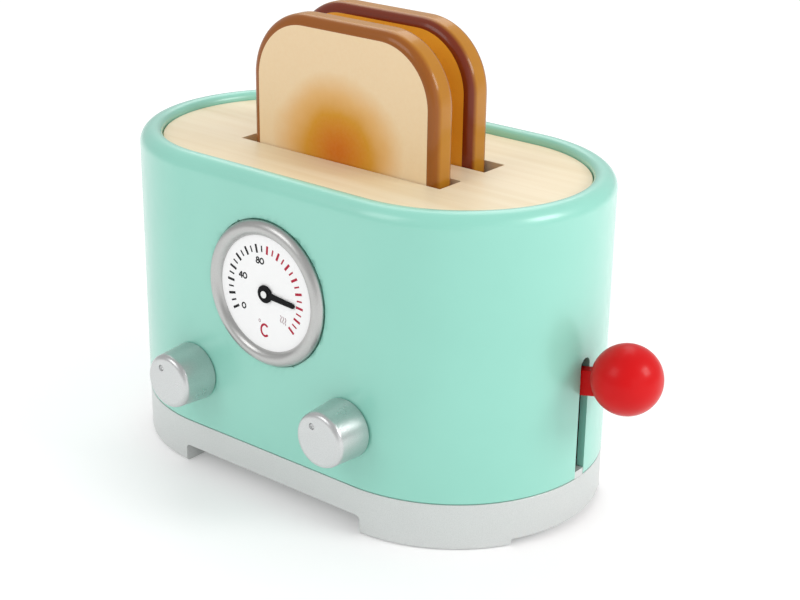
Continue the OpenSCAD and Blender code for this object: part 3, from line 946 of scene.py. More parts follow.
class Finish(Enum):
    """Every finish that more than one piece could wear."""

    MINT = Paint("mint_paint", srgb(146, 216, 198), srgb(143, 213, 195), 0.40, 1.0, 0.24)
    RED = Paint("red_paint", srgb(213, 9, 14), srgb(206, 6, 11), 0.36, 0.13, 0.14, 0.002 * MM, 0.16)
    GOLDEN = Paint("toast_golden", srgb(238, 177, 60), srgb(230, 167, 51), 0.4, 0.1, 0.3, 0.004 * MM, 0.2)
    DIAL_WHITE = Paint("dial_white", srgb(254, 254, 254), srgb(252, 252, 252), 0.45)
    SILVER = SilverPaint("silver_paint", (0.68, 0.70, 0.69), (0.62, 0.64, 0.63), 0.42, 0.45)
    RING_SILVER = SilverPaint("ring_silver", (0.53, 0.53, 0.52), (0.49, 0.49, 0.48), 0.36, 1.0, 0.0015 * MM)
    KNOB_SILVER = SilverPaint("knob_silver", (0.65, 0.66, 0.66), (0.58, 0.59, 0.59), 0.31, 0.88, 0.0015 * MM)
    PANEL_WOOD = Wood("panel_wood", srgb(242, 227, 195), srgb(232, 212, 172), (8.0, 190.0, 190.0), 0.46, 0.2)
    PLYWOOD = Wood("plywood", srgb(226, 204, 168), srgb(206, 178, 136), (12.0, 160.0, 160.0), 0.6)
    # a dark bare board for the shell's inside: partly unpainted wood, partly painted shade of the body's dark inside
    BARE_BOARD_SHADE = Wood("bare_board_painted_shade", srgb(120, 92, 66), srgb(98, 74, 52), (60.0, 60.0, 60.0), 0.8)
    DOWEL = Wood("dowel_wood", srgb(224, 200, 162), srgb(204, 174, 132), (160.0, 12.0, 160.0), 0.55)
    NYLON = Plastic("nylon", srgb(236, 233, 224), srgb(228, 224, 213), 0.42)
    NEEDLE_BLACK = Plastic("needle_black", (0.006, 0.006, 0.007), (0.004, 0.004, 0.005), 0.55, 0.12)
    PIN_WHITE = Plastic("pin_white", srgb(246, 247, 246), srgb(240, 241, 240), 0.36)
    ROD_STEEL = Metal("rod_steel", (0.62, 0.63, 0.64), (0.54, 0.55, 0.56), (3000.0, 3000.0, 60.0), 0.24)
    SPRING_STEEL = Metal("spring_steel", (0.48, 0.49, 0.50), (0.40, 0.41, 0.42), (500.0, 500.0, 500.0), 0.32)
    ZINC = Metal("screw_zinc", (0.66, 0.67, 0.68), (0.56, 0.57, 0.58), (900.0, 900.0, 900.0), 0.34)
    BRASS = Metal("brass", (0.80, 0.60, 0.28), (0.70, 0.50, 0.22), (2400.0, 2400.0, 80.0), 0.28)
    BLACK_INK = Ink("black_ink", (0.010, 0.010, 0.011), (0.022, 0.022, 0.024))
    RED_INK = Ink("red_ink", srgb(178, 32, 58), srgb(190, 52, 76))
    GREY_INK = Ink("grey_ink", srgb(168, 140, 146), srgb(182, 158, 163))


class Body(Enum):
    """The bodies that move one by one."""

    HOUSING = "housing"
    PLATFORM = "platform"
    LEVER = "lever"
    FRONT_SLICE = "front_slice"
    REAR_SLICE = "rear_slice"
    LEFT_KNOB = "left_knob"
    RIGHT_KNOB = "right_knob"
    NEEDLE = "needle"


class Slot(Enum):
    """The record's material slots."""

    MINT_PAINT = "mint_paint"
    SILVER_PAINT = "silver_paint"
    KNOB_SILVER = "knob_silver"
    NATURAL_WOOD = "natural_wood"
    PLYWOOD = "plywood"
    RED_PAINT = "red_paint"
    TOAST_PAINT = "toast_paint"
    DIAL_WHITE = "dial_white"
    NEEDLE_BLACK = "needle_black"
    PIN_WHITE = "pin_white"
    NYLON = "nylon"
    ROD_STEEL = "rod_steel"
    SPRING_STEEL = "spring_steel"
    SCREW_ZINC = "screw_zinc"
    BRASS = "brass"


class Side(Enum):
    """The sides of the toy that pieces are named after."""

    LEFT = "left"
    RIGHT = "right"
    FRONT = "front"
    REAR = "rear"


class Wardrobe:
    """Makes each finish's material once, and dresses pieces in it."""

    def __init__(self) -> None:
        """Starts with no material made."""
        self.made: dict[str, bpy.types.Material] = {}

    def material(self, finish: Finish | Toasted | Crust) -> bpy.types.Material:
        """The material of a finish, made when it is first asked for.

        Args:
            finish: one of the toy's finishes, or one slice's own.

        Returns:
            The material.
        """
        kind = finish.value if isinstance(finish, Finish) else finish
        if kind.name not in self.made:
            self.made[kind.name] = kind.material()
        return self.made[kind.name]

    def dress(self, piece: bpy.types.Object, finish: Finish | Toasted | Crust, body: Body, slot: Slot,
              stands_for: str | None = None) -> bpy.types.Object:
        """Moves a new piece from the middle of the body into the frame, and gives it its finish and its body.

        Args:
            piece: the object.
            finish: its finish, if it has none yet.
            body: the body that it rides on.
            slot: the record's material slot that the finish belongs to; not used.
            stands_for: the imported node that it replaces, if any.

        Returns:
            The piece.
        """
        if not piece.data.materials:
            piece.data.materials.append(self.material(finish))
        move(piece, Matrix.Translation(middle()))
        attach(piece, body.value)
        if stands_for:
            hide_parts(stands_for)
        log.info("%s: %d faces on %s", piece.name, len(piece.data.polygons), body.value)
        return piece


# ----------------------------------------------------------------------------------------------- housing


class RodEnd(Enum):
    """The two ends of a guide rod."""

    FOOT = "foot"
    HEAD = "head"


@dataclass
class Housing:
    """The mint shell, the silver plinth and the pale top panel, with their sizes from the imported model.

    Depth is measured inwards from the shell's outside. shell_edge, plinth_edge and panel_edge are how far the
    rounding of their cut edges reaches, and gap is the room between the shell and what is let into it. lever_rise is
    the slope of the lever's bar in degrees, which says where the bar meets the lever slot.
    """

    wardrobe: Wardrobe
    gap: float = 0.3 * MM
    wall: float = 12 * MM
    rim_wall: float = 9 * MM
    rim_round: float = 6 * MM
    rim_inside: float = 3 * MM
    shell_edge: float = 0.45 * MM
    shell_foot: float = 0.6 * MM
    plinth_edge: float = 0.7 * MM
    plinth_top: float = 0.12 * MM
    foot_round: float = 1.5 * MM
    arch_half: float = 46.3 * MM
    arch_high: float = 7.7 * MM
    arch_round: float = 2 * MM
    end_arch_half: float = 30 * MM
    end_arch_high: float = 3 * MM
    end_arch_round: float = 1 * MM
    panel_drop: float = 3.3 * MM
    panel_edge: float = 0.35 * MM
    panel_round: float = 0.5 * MM
    slot_half: float = 50.2 * MM
    slot_pitch: float = 27.2 * MM
    slot_width: float = 13 * MM
    lever_slot_half: float = 3 * MM
    lever_slot_head: float = 4.7 * MM
    lever_rise: float = 12.0
    slot_land: float = 3 * MM
    paint_reach: float = 0.2 * MM
    recess_half: float = 12 * MM
    recess_head: float = 6 * MM
    tongue_root: float = 2 * MM
    tongue_high: float = 3 * MM
    tongue_in: float = 0.2 * MM
    screw_hole: float = 2.05 * MM
    screw_head: float = 3.6 * MM
    seat_radius: float = 3.65 * MM
    seat_bore: float = 0.6 * MM
    seat_cone: float = 2.4 * MM
    rod_deep: float = 9 * MM
    groove: float = 0.45 * MM
    groove_deep: float = 1.6 * MM
    low: float = field(init=False)
    high: float = field(init=False)
    radius: float = field(init=False)
    end_x: float = field(init=False)
    panel_low: float = field(init=False)
    lever_y: float = field(init=False)
    lever_slot_top: float = field(init=False)

    def __post_init__(self) -> None:
        """Reads the shell's box, the panel's underside and the lever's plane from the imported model."""
        lowest, highest = box("body_shell")
        self.low, self.high = lowest[2], highest[2]
        self.radius = highest[1]
        self.end_x = highest[0] - self.radius
        self.panel_low = box("top_panel")[0][2]
        bar_high = box("lever_arm")[1]
        self.lever_y = centre("lever_arm")[1]
        beyond = self.end_x + self.radius - bar_high.x
        self.lever_slot_top = bar_high.z + beyond * math.tan(math.radians(self.lever_rise)) + self.lever_slot_head

    def build(self) -> None:
        """Makes the three pieces."""
        self.shell()
        self.plinth()
        self.panel()

    def shell_profile(self) -> np.ndarray:
        """The wall's section: up its outside, over the rounded rim, down to the ledge and down its inside.

        Returns:
            Rows of distance from the middle line and height.
        """
        r, top, bend = self.radius, self.high, self.radius - self.rim_round
        inside = r - self.rim_wall
        return np.vstack((
            ((r - self.shell_foot, self.low), (r, self.low + self.shell_foot)),
            straight((r, self.low + self.shell_foot), (r, top - self.rim_round), steps=16),
            arc((bend, top - self.rim_round), self.rim_round, 0, 90, steps=14),
            arc((bend, top - self.rim_inside), self.rim_inside, 90, 180, steps=10)[1:],
            ((inside, self.panel_low), (r - self.wall, self.panel_low), (r - self.wall, self.low)),
        ))

    def shell(self) -> bpy.types.Object:
        """Makes the mint shell with its lever slot, its dial pocket and the holes for spindles and screws.

        Returns:
            The dressed piece.
        """
        piece = round_body("shell_painted", self.shell_profile(), self.end_x, closed=True)
        carve(piece, [self.recess_cut()])
        carve(piece, [self.lever_slot_cut()])
        soften(piece, self.shell_edge)
        carve(piece, [self.pocket_cut(), self.groove_cut(), *self.spindle_cuts(),
                      *self.screw_cuts(self.low - OVERCUT, box("base_screws")[1][2] + OVERCUT)])
        self.bare_inside_painted_shade(piece)
        smooth(piece)
        return self.wardrobe.dress(piece, Finish.MINT, Body.HOUSING, Slot.MINT_PAINT, "body_shell")

    def recess_cut(self) -> bpy.types.Object:
        """What thins the wall behind the lever slot: a block whose outer face runs round the end's centre.

        Returns:
            The cutter.
        """
        reach, half = self.radius - self.slot_land, self.recess_half
        first, last = (math.asin((self.lever_y + s * half) / reach) for s in (-1, 1))
        bend = arc((self.end_x, 0), reach, math.degrees(first), math.degrees(last), steps=24)
        outline = np.vstack((((self.end_x, self.lever_y - half),), bend, ((self.end_x, self.lever_y + half),)))
        return prism("recess_cut", outline, self.low - OVERCUT, self.lever_slot_top + self.recess_head, Axis.Z)

    def lever_slot_cut(self) -> bpy.types.Object:
        """The lever slot, open at its foot and round at its head.

        Returns:
            The cutter.
        """
        half, y, foot = self.lever_slot_half, self.lever_y, self.low - OVERCUT
        head = arc((y, self.lever_slot_top - half), half, 0, 180, steps=24)
        outline = np.vstack((((y - half, foot), (y + half, foot)), head))
        return prism("slot_cut", outline, self.end_x, self.end_x + 2 * self.radius, Axis.X)

    def pocket_cut(self) -> bpy.types.Object:
        """The round pocket in the front that takes the dial's face.

        Returns:
            The cutter.
        """
        x, _, z = centre("dial_face")
        pocket = circle(x, z, extent("dial_face")[0] / 2, steps=96)
        return prism("pocket_cut", pocket, -self.radius - OVERCUT, box("dial_face")[1][1], Axis.Y)

    def groove_cut(self) -> bpy.types.Object:
        """The thin groove round the dial's ring.

        Returns:
            The cutter.
        """
        ring = extent("dial_ring")[0] / 2
        section = rectangle(ring - OVERCUT, -self.groove_deep, ring + self.groove, OVERCUT)
        x, _, z = centre("dial_ring")
        return move(lathe("groove_cut", section, closed=True, steps=160), facing_front(x, -self.radius, z))

    def spindle_cuts(self) -> list[bpy.types.Object]:
        """The two holes in the front that the knobs' spindles turn in.

        Returns:
            The cutters.
        """
        x, _, z = centre("spindle_right")
        hole = extent("spindle_right")[0] / 2 + FIT
        front, back = -self.radius - OVERCUT, -self.radius + 2 * self.wall
        return [prism("spindle_cut", circle(side * x, z, hole), front, back, Axis.Y) for side in (-1, 1)]

    def screw_places(self) -> list[tuple[float, float]]:
        """Where the six plinth screws are: one in each foot and two in the arch, on the wall's middle line.

        Returns:
            Each screw's X and Y.
        """
        x, line = box("base_screws")[1].x - self.screw_head, self.radius - self.wall / 2
        y = math.sqrt(line ** 2 - (x - self.end_x) ** 2)
        return [(sx * x, sy * y) for sx in (-1, 1) for sy in (-1, 1)] + [(0.0, line), (0.0, -line)]

    def screw_cuts(self, low: float, high: float) -> list[bpy.types.Object]:
        """Round holes for the plinth screws, from low to high."""
        holes = [circle(x, y, self.screw_hole, steps=32) for x, y in self.screw_places()]
        return [prism("screw_cut", hole, low, high, Axis.Z) for hole in holes]

    def bare_inside_painted_shade(self, piece: bpy.types.Object) -> None:
        """Gives the shell a dark board inside: every face below the panel that lies deeper than the slot's edges.

        The board is partly the unpainted wood and partly painted shade of the body's dark inside.

        Args:
            piece: the shell. Depth is the radius less a face's distance from the line between the ends' centres.
        """
        # the second material, the dark bare board, is partly painted shade of the dark inside
        for finish in (Finish.MINT, Finish.BARE_BOARD_SHADE):
            piece.data.materials.append(self.wardrobe.material(finish))
        centres = np.empty(3 * len(piece.data.polygons))
        piece.data.polygons.foreach_get("center", centres)
        x, y, z = centres.reshape(-1, 3).T
        depth = self.radius - np.hypot(np.maximum(np.abs(x) - self.end_x, 0), y)
        inside = (depth > self.slot_land + self.paint_reach) & (z < self.panel_low + self.paint_reach)
        piece.data.polygons.foreach_set("material_index", inside.astype(np.int32))

    def plinth(self) -> bpy.types.Object:
        """Makes the silver plinth: a slab with rounded feet, arches both ways, a step for the shell and a tongue.

        Returns:
            The dressed piece.
        """
        r, inner, top = self.radius, self.radius - self.wall - self.gap, box("base_plinth")[1][2]
        profile = np.vstack((
            ((0, 0), (r - self.foot_round, 0)),
            arc((r - self.foot_round, self.foot_round), self.foot_round, -90, 0, steps=8)[1:],
            straight((r, self.foot_round), (r, self.low - self.plinth_top), steps=3),
            ((r, self.low - self.plinth_top), (r - self.plinth_top, self.low), (inner, self.low), (inner, top),
             (0, top)),
        ))
        piece = round_body("plinth_painted", profile, self.end_x, closed=True)
        carve(piece, [self.arch_cut(self.arch_half, self.arch_high, self.arch_round, Axis.Y),
                      self.arch_cut(self.end_arch_half, self.end_arch_high, self.end_arch_round, Axis.X)])
        half, y = self.lever_slot_half - self.gap, self.lever_y
        tongue = rectangle(self.end_x + inner - OVERCUT, y - half, self.end_x + r - self.tongue_in, y + half)
        carve(piece, [prism("tongue", tongue, self.low - self.tongue_root, self.low + self.tongue_high, Axis.Z)],
              join=True)
        soften(piece, self.plinth_edge)
        carve(piece, self.screw_cuts(-OVERCUT, top) + self.seat_cuts() + self.rod_cuts(RodEnd.FOOT))
        smooth(piece)
        return self.wardrobe.dress(piece, Finish.SILVER, Body.HOUSING, Slot.SILVER_PAINT, "base_plinth")

    def arch_cut(self, half: float, high: float, bend: float, axis: Axis) -> bpy.types.Object:
        """What is cut away under an arch: a bar with two rounded upper edges, right through the plinth.

        Args:
            half: half of the arch's width.
            high: its height.
            bend: the radius of its upper corners.
            axis: the axis that it runs along.

        Returns:
            The cutter.
        """
        outline = np.vstack((((-half, -high), (half, -high)),
                             arc((half - bend, high - bend), bend, 0, 90, steps=6),
                             arc((bend - half, high - bend), bend, 90, 180, steps=6)))
        return prism("arch_cut", outline, -4 * self.radius, 4 * self.radius, axis)

    def seat_cuts(self) -> list[bpy.types.Object]:
        """The countersunk seats of the plinth screws: a short bore, then a cone down to the screw's hole.

        Returns:
            The cutters.
        """
        bore, cone = self.seat_bore, self.seat_bore + self.seat_cone
        section = np.array(((0, -OVERCUT), (self.seat_radius, -OVERCUT), (self.seat_radius, bore),
                            (self.screw_hole, cone), (0, cone)))
        cuts = []
        for x, y in self.screw_places():
            foot = 0.0 if abs(x) > self.arch_half else self.arch_high
            cuts.append(move(lathe("seat_cut", section, closed=False, steps=48), Matrix.Translation((x, y, foot))))
        return cuts

    def rod_cuts(self, end: RodEnd) -> list[bpy.types.Object]:
        """The guide rods' sockets in the piece at one of their ends.

        Args:
            end: the foot's end for the plinth, the head's for the panel.

        Returns:
            The cutters.
        """
        cuts = []
        for node in ("guide_rod_left", "guide_rod_right"):
            lowest, highest = box(node)
            x, y, _ = centre(node)
            spans = {RodEnd.FOOT: (lowest[2], self.low + self.rod_deep),
                     RodEnd.HEAD: (self.panel_low - OVERCUT, highest[2])}
            cuts.append(prism("rod_cut", circle(x, y, extent(node)[0] / 2 + FIT), *spans[end], Axis.Z))
        return cuts

    def panel(self) -> bpy.types.Object:
        """Makes the pale top panel with its two toast slots.

        Returns:
            The dressed piece.
        """
        r, top, bend = self.radius - self.rim_wall - self.gap, self.high - self.panel_drop, self.panel_round
        profile = np.vstack((((0, self.panel_low), (r, self.panel_low)),
                             arc((r - bend, top - bend), bend, 0, 90, steps=4), ((0, top),)))
        piece = round_body("panel_wood", profile, self.end_x, closed=True)
        half, middles = self.slot_width / 2, (-self.slot_pitch / 2, self.slot_pitch / 2)
        slots = [rectangle(-self.slot_half, y - half, self.slot_half, y + half) for y in middles]
        carve(piece, [prism("slot_cut", slot, self.panel_low - OVERCUT, top + OVERCUT, Axis.Z) for slot in slots])
        soften(piece, self.panel_edge, segments=2)
        carve(piece, self.rod_cuts(RodEnd.HEAD))
        smooth(piece)
        return self.wardrobe.dress(piece, Finish.PANEL_WOOD, Body.HOUSING, Slot.NATURAL_WOOD, "top_panel")


# -------------------------------------------------------------------------------------------------- dial


class Tick(Enum):
    """The two lengths of mark on the dial, as length and width."""

    LONG = (3.4 * MM, 1.0 * MM)
    SHORT = (2.5 * MM, 0.65 * MM)


class Digit(Enum):
    """The digits that the dial's numbers are made of."""

    ZERO = "0"
    FOUR = "4"
    EIGHT = "8"


@dataclass
class Dial:
    """The round dial: ring, printed face, needle and pin.

    Places on the face are X to the right and Y up from its middle. The first mark stands at first_angle, and each
    one after it step_angle further clockwise, in degrees.
    """

    wardrobe: Wardrobe
    band: float = 5.9 * MM
    crown_square: float = 2.1
    crown_soft: float = 1.4
    face_edge: float = 0.2 * MM
    pin_bore: float = 1.05 * MM
    pin_bore_deep: float = 3 * MM
    needle_edge: float = 0.12 * MM
    pin_edge: float = 0.08 * MM
    ink: float = 0.03 * MM
    ticks: int = 29
    black_ticks: int = 14
    first_angle: float = 211.0
    step_angle: float = 9.0
    tick_radius: float = 17.5 * MM
    ticks_left: float = 0.5 * MM
    numbers: tuple[tuple[str, float, float], ...] = (
        ("0", -11.5 * MM, -7.6 * MM), ("40", -11.7 * MM, 4.7 * MM), ("80", -2.8 * MM, 12.6 * MM))
    digit_high: float = 2.7 * MM
    digit_pitch: float = 2.1 * MM
    digit_stroke: float = 0.58 * MM
    letter_at: tuple[float, float] = (-0.8 * MM, -15.0 * MM)
    letter_half: tuple[float, float] = (1.9 * MM, 2.35 * MM)
    letter_gap: float = 42.0
    letter_stroke: float = 0.9 * MM
    degree_at: tuple[float, float] = (-3.4 * MM, -11.6 * MM)
    degree_half: tuple[float, float] = (0.42 * MM, 0.55 * MM)
    degree_stroke: float = 0.3 * MM
    waves: int = 3
    wave_at: tuple[float, float] = (7.3 * MM, -6.7 * MM)
    wave_pitch: tuple[float, float] = (1.15 * MM, -0.25 * MM)
    wave_swing: float = 0.34 * MM
    wave_drift: float = 0.5 * MM
    wave_long: float = 2.9 * MM
    wave_stroke: float = 0.36 * MM
    middle_x: float = field(init=False)
    middle_z: float = field(init=False)
    front: float = field(init=False)
    shell_y: float = field(init=False)

    def __post_init__(self) -> None:
        """Reads the dial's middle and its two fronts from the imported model."""
        self.middle_x, _, self.middle_z = centre("dial_ring")
        self.front = box("dial_face")[0][1]
        self.shell_y = box("body_shell")[0][1]

    def build(self) -> None:
        """Makes every piece of the dial."""
        self.ring()
        self.face()
        self.scale()
        self.needle()

    def place(self, y: float) -> Matrix:
        """The matrix that stands a flat shape up on the dial's middle, its front out, at y."""
        return facing_front(self.middle_x, y, self.middle_z)

    def ring(self) -> bpy.types.Object:
        """Makes the silver ring: a domed band with a lip over the face.

        The crown's height over the lip is h (1 - |2u|^p)^(1/q), with u from -1/2 to 1/2 across the band, crown_square
        for p and crown_soft for q.

        Returns:
            The dressed piece.
        """
        outer, out = extent("dial_ring")[0] / 2, self.shell_y - box("dial_ring")[0][1]
        inner, lip = outer - self.band, self.shell_y - self.front
        plate = extent("dial_face")[0] / 2 + FIT
        u = np.sin(np.radians(np.linspace(90, -90, 41))) / 2
        dome = np.clip(1 - np.abs(2 * u) ** self.crown_square, 0, 1) ** (1 / self.crown_soft)
        band = np.column_stack(((outer + inner) / 2 + u * (outer - inner), lip + (out - lip) * dome))
        profile = np.vstack((((plate, lip), (plate, 0), (outer, 0)), band))
        piece = move(lathe("dial_ring_silver", profile, closed=True, steps=192), self.place(self.shell_y))
        return self.wardrobe.dress(smooth(piece), Finish.RING_SILVER, Body.HOUSING, Slot.SILVER_PAINT, "dial_ring")

    def face(self) -> bpy.types.Object:
        """Makes the white face, a thick disc with a bore for the needle's pin.

        Returns:
            The dressed piece.
        """
        wide, deep, _ = extent("dial_face")
        radius, edge, floor = wide / 2, self.face_edge, deep - self.pin_bore_deep
        profile = np.vstack((((0, 0), (radius, 0)), arc((radius - edge, deep - edge), edge, 0, 90, steps=4),
                             ((self.pin_bore, deep), (self.pin_bore, floor), (0, floor))))
        back = box("dial_face")[1][1]
        piece = move(lathe("dial_face_white", profile, closed=False, steps=160), self.place(back))
        return self.wardrobe.dress(smooth(piece), Finish.DIAL_WHITE, Body.HOUSING, Slot.DIAL_WHITE, "dial_face")

    def tick_strokes(self, first: int, last: int) -> list[Stroke]:
        """The marks, long and short in turn, each along the dial's radius.

        Args:
            first: the first mark's number.
            last: the number past the last one.

        Returns:
            Their strokes.
        """
        strokes = []
        for i in range(first, last):
            a = math.radians(self.first_angle - self.step_angle * i)
            length, width = (Tick.LONG if i % 2 == 0 else Tick.SHORT).value
            ends = np.array((self.tick_radius - length / 2, self.tick_radius + length / 2))
            path = np.column_stack((ends * math.cos(a) - self.ticks_left, ends * math.sin(a)))
            strokes.append((path, width, False))
        return strokes

    def oval(self, x: float, y: float, half_wide: float, half_high: float, stroke: float) -> Stroke:
        """A closed oval stroke round (x, y)."""
        return circle(0, 0, 1, steps=32) * (half_wide, half_high) + (x, y), stroke, True

    def digit(self, sign: Digit, x: float, y: float) -> list[Stroke]:
        """The strokes of one digit, as shares of its height.

        Args:
            sign: the digit.
            x, y: its middle.

        Returns:
            An oval for 0, two for 8, and a stem, a slope and a bar for 4.
        """
        h, w = self.digit_high, self.digit_stroke
        if sign is Digit.ZERO:
            return [self.oval(x, y, 0.34 * h, 0.5 * h - w / 2, w)]
        if sign is Digit.EIGHT:
            return [self.oval(x, y + 0.235 * h, 0.22 * h, 0.185 * h, w),
                    self.oval(x, y - 0.2 * h, 0.27 * h, 0.22 * h, w)]
        stem, foot = x + 0.14 * h, y - 0.17 * h
        return [(np.array(((stem, y - 0.5 * h), (stem, y + 0.5 * h))), w, False),
                (np.array(((stem, y + 0.46 * h), (x - 0.34 * h, foot))), w, False),
                (np.array(((x - 0.4 * h, foot), (x + 0.36 * h, foot))), w, False)]

    def number(self, text: str, x: float, y: float) -> list[Stroke]:
        """The strokes of a number, its digits side by side about (x, y).

        Args:
            text: its digits.
            x, y: its middle.

        Returns:
            All strokes.
        """
        first = x - self.digit_pitch * (len(text) - 1) / 2
        return [stroke for i, sign in enumerate(text)
                for stroke in self.digit(Digit(sign), first + i * self.digit_pitch, y)]

    def unit_letter(self) -> Stroke:
        """The unit's letter: an oval arc that is open to the right by letter_gap degrees each way."""
        path = arc((0, 0), 1, self.letter_gap, 360 - self.letter_gap, steps=28) * self.letter_half + self.letter_at
        return path, self.letter_stroke, False

    def heat_waves(self) -> list[Stroke]:
        """The little waves: x = swing sin(2 pi t) + drift t and y = -long t, with t from 0 to 1, side by side.

        Returns:
            Their strokes.
        """
        strokes, t = [], np.linspace(0, 1, 25)
        for i in range(self.waves):
            x, y = (start + i * pitch for start, pitch in zip(self.wave_at, self.wave_pitch))
            swing = self.wave_swing * np.sin(2 * np.pi * t) + self.wave_drift * t
            strokes.append((np.column_stack((x + swing, y - self.wave_long * t)), self.wave_stroke, False))
        return strokes

    def scale(self) -> None:
        """Prints the face: black and red marks, the numbers 0, 40 and 80, the unit and three little waves."""
        black = self.tick_strokes(0, self.black_ticks)
        for text, x, y in self.numbers:
            black += self.number(text, x, y)
        red = self.tick_strokes(self.black_ticks, self.ticks) + [self.unit_letter()]
        grey = [self.oval(*self.degree_at, *self.degree_half, self.degree_stroke)] + self.heat_waves()
        for name, strokes, finish in (("scale_black", black, Finish.BLACK_INK), ("scale_red", red, Finish.RED_INK),
                                      ("scale_grey", grey, Finish.GREY_INK)):
            piece = move(print_strokes(name, strokes, self.ink), self.place(self.front))
            self.wardrobe.dress(piece, finish, Body.HOUSING, Slot.DIAL_WHITE)

    def needle(self) -> None:
        """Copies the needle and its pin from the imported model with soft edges."""
        copy_node(self.wardrobe, "dial_needle", Finish.NEEDLE_BLACK, Body.NEEDLE, Slot.NEEDLE_BLACK, self.needle_edge)
        copy_node(self.wardrobe, "needle_pin", Finish.PIN_WHITE, Body.HOUSING, Slot.PIN_WHITE, self.pin_edge)


# ------------------------------------------------------------------------------------------ other pieces


def copy_node(wardrobe: Wardrobe, node: str, finish: Finish, body: Body, slot: Slot, width: float, segments: int = 2,
              gap: float = 0.002 * MM, flat: float = 0.5) -> bpy.types.Object:
    """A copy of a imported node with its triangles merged, its edges rounded and its finish on.

    Args:
        wardrobe: what dresses it.
        node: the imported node's name.
        finish: its finish.
        body: the body that it rides on.
        slot: the record's material slot.
        width: how far the rounding of an edge reaches.
        segments: the facets of that rounding.
        gap: points nearer than this are one.
        flat: faces that meet at less than this many degrees become one.

    Returns:
        The new piece.
    """
    source = bpy.data.objects[node]
    piece = bpy.data.objects.new(node + "_finished", source.data.copy())
    bpy.context.scene.collection.objects.link(piece)
    piece.data.materials.clear()
    move(piece, Matrix.Translation(-middle()))
    shape = bmesh.new()
    shape.from_mesh(piece.data)
    bmesh.ops.remove_doubles(shape, verts=shape.verts, dist=gap)
    bmesh.ops.dissolve_limit(shape, angle_limit=math.radians(flat), verts=shape.verts, edges=shape.edges)
    shape.to_mesh(piece.data)
    shape.free()
    soften(piece, width, segments)
    return wardrobe.dress(piece, finish, body, slot, node)


@dataclass
class Knob:
    """A turned knob with a soft front edge and a small round mark, on its spindle.

    Its side leans in by lean degrees, from its back to face_radius at the front.
    """

    wardrobe: Wardrobe
    side: Side
    body: Body
    back_round: float = 0.5 * MM
    front_round: float = 2.2 * MM
    face_radius: float = 10.9 * MM
    lean: float = 2.0
    hub_radius: float = 3.05 * MM
    hub_deep: float = 9 * MM
    mark_radius: float = 1.3 * MM
    mark_out: float = 6 * MM
    mark_angle: float = 118.0
    inner_edge: float = 0.3 * MM

    def profile(self, radius: float, long: float) -> np.ndarray:
        """The knob's section, from the bottom of its bore round its back, side and front edge to its front.

        Args:
            radius, long: the knob's radius at its back, and its length.

        Returns:
            Rows of radius and height over its back.
        """
        back, front = self.back_round, self.front_round
        return np.vstack((
            ((0, self.hub_deep), (self.hub_radius, self.hub_deep), (self.hub_radius, 0)),
            arc((radius - back, back), back, -90, 0, steps=4),
            straight((radius, back), (self.face_radius, long - front), steps=4),
            arc((self.face_radius - front, long - front), front, self.lean, 90, steps=12),
            ((0, long),),
        ))

    def mark_cut(self, long: float) -> bpy.types.Object:
        """The round mark, a bowl cut into the front.

        Args:
            long: the knob's length.

        Returns:
            The cutter.
        """
        bowl = np.vstack((((0, long + OVERCUT), (self.mark_radius, long + OVERCUT)),
                          arc((0, long), self.mark_radius, 0, -90, steps=8)))
        a = math.radians(self.mark_angle)
        place = Matrix.Translation((self.mark_out * math.cos(a), self.mark_out * math.sin(a), 0))
        return move(lathe("mark_cut", bowl, closed=False, steps=40), place)

    def build(self) -> bpy.types.Object:
        """Makes the knob, and copies its spindle and retainer.

        Returns:
            The dressed knob.
        """
        side, node = self.side.value, "knob_" + self.side.value
        wide, long, _ = extent(node)
        piece = lathe(node + "_silver", self.profile(wide / 2, long), closed=False)
        carve(piece, [self.mark_cut(long)])
        x, _, z = centre(node)
        smooth(move(piece, facing_front(x, box(node)[1][1], z)))
        copy_node(self.wardrobe, "spindle_" + side, Finish.DOWEL, self.body, Slot.PLYWOOD, self.inner_edge)
        copy_node(self.wardrobe, "knob_retainer_" + side, Finish.NYLON, self.body, Slot.NYLON, self.inner_edge)
        return self.wardrobe.dress(piece, Finish.KNOB_SILVER, self.body, Slot.KNOB_SILVER, node)


@dataclass
class Lever:
    """The red bar and the ball on its end."""

    wardrobe: Wardrobe
    bar_edge: float = 0.9 * MM

    def build(self) -> bpy.types.Object:
        """Makes the ball as a half circle turned about the upright, and copies the bar, whose end it encloses.

        Returns:
            The dressed ball.
        """
        radius = extent("lever_ball")[2] / 2
        _, y, z = centre("lever_ball")
        half_circle = arc((0, 0), radius, -90, 90, steps=64)
        half_circle[[0, -1], 0] = 0
        piece = lathe("lever_ball_red", half_circle, closed=False)
        move(piece, Matrix.Translation((box("lever_ball")[1][0] - radius, y, z)))
        copy_node(self.wardrobe, "lever_arm", Finish.RED, Body.LEVER, Slot.RED_PAINT, self.bar_edge, segments=4)
        return self.wardrobe.dress(smooth(piece), Finish.RED, Body.LEVER, Slot.RED_PAINT, "lever_ball")


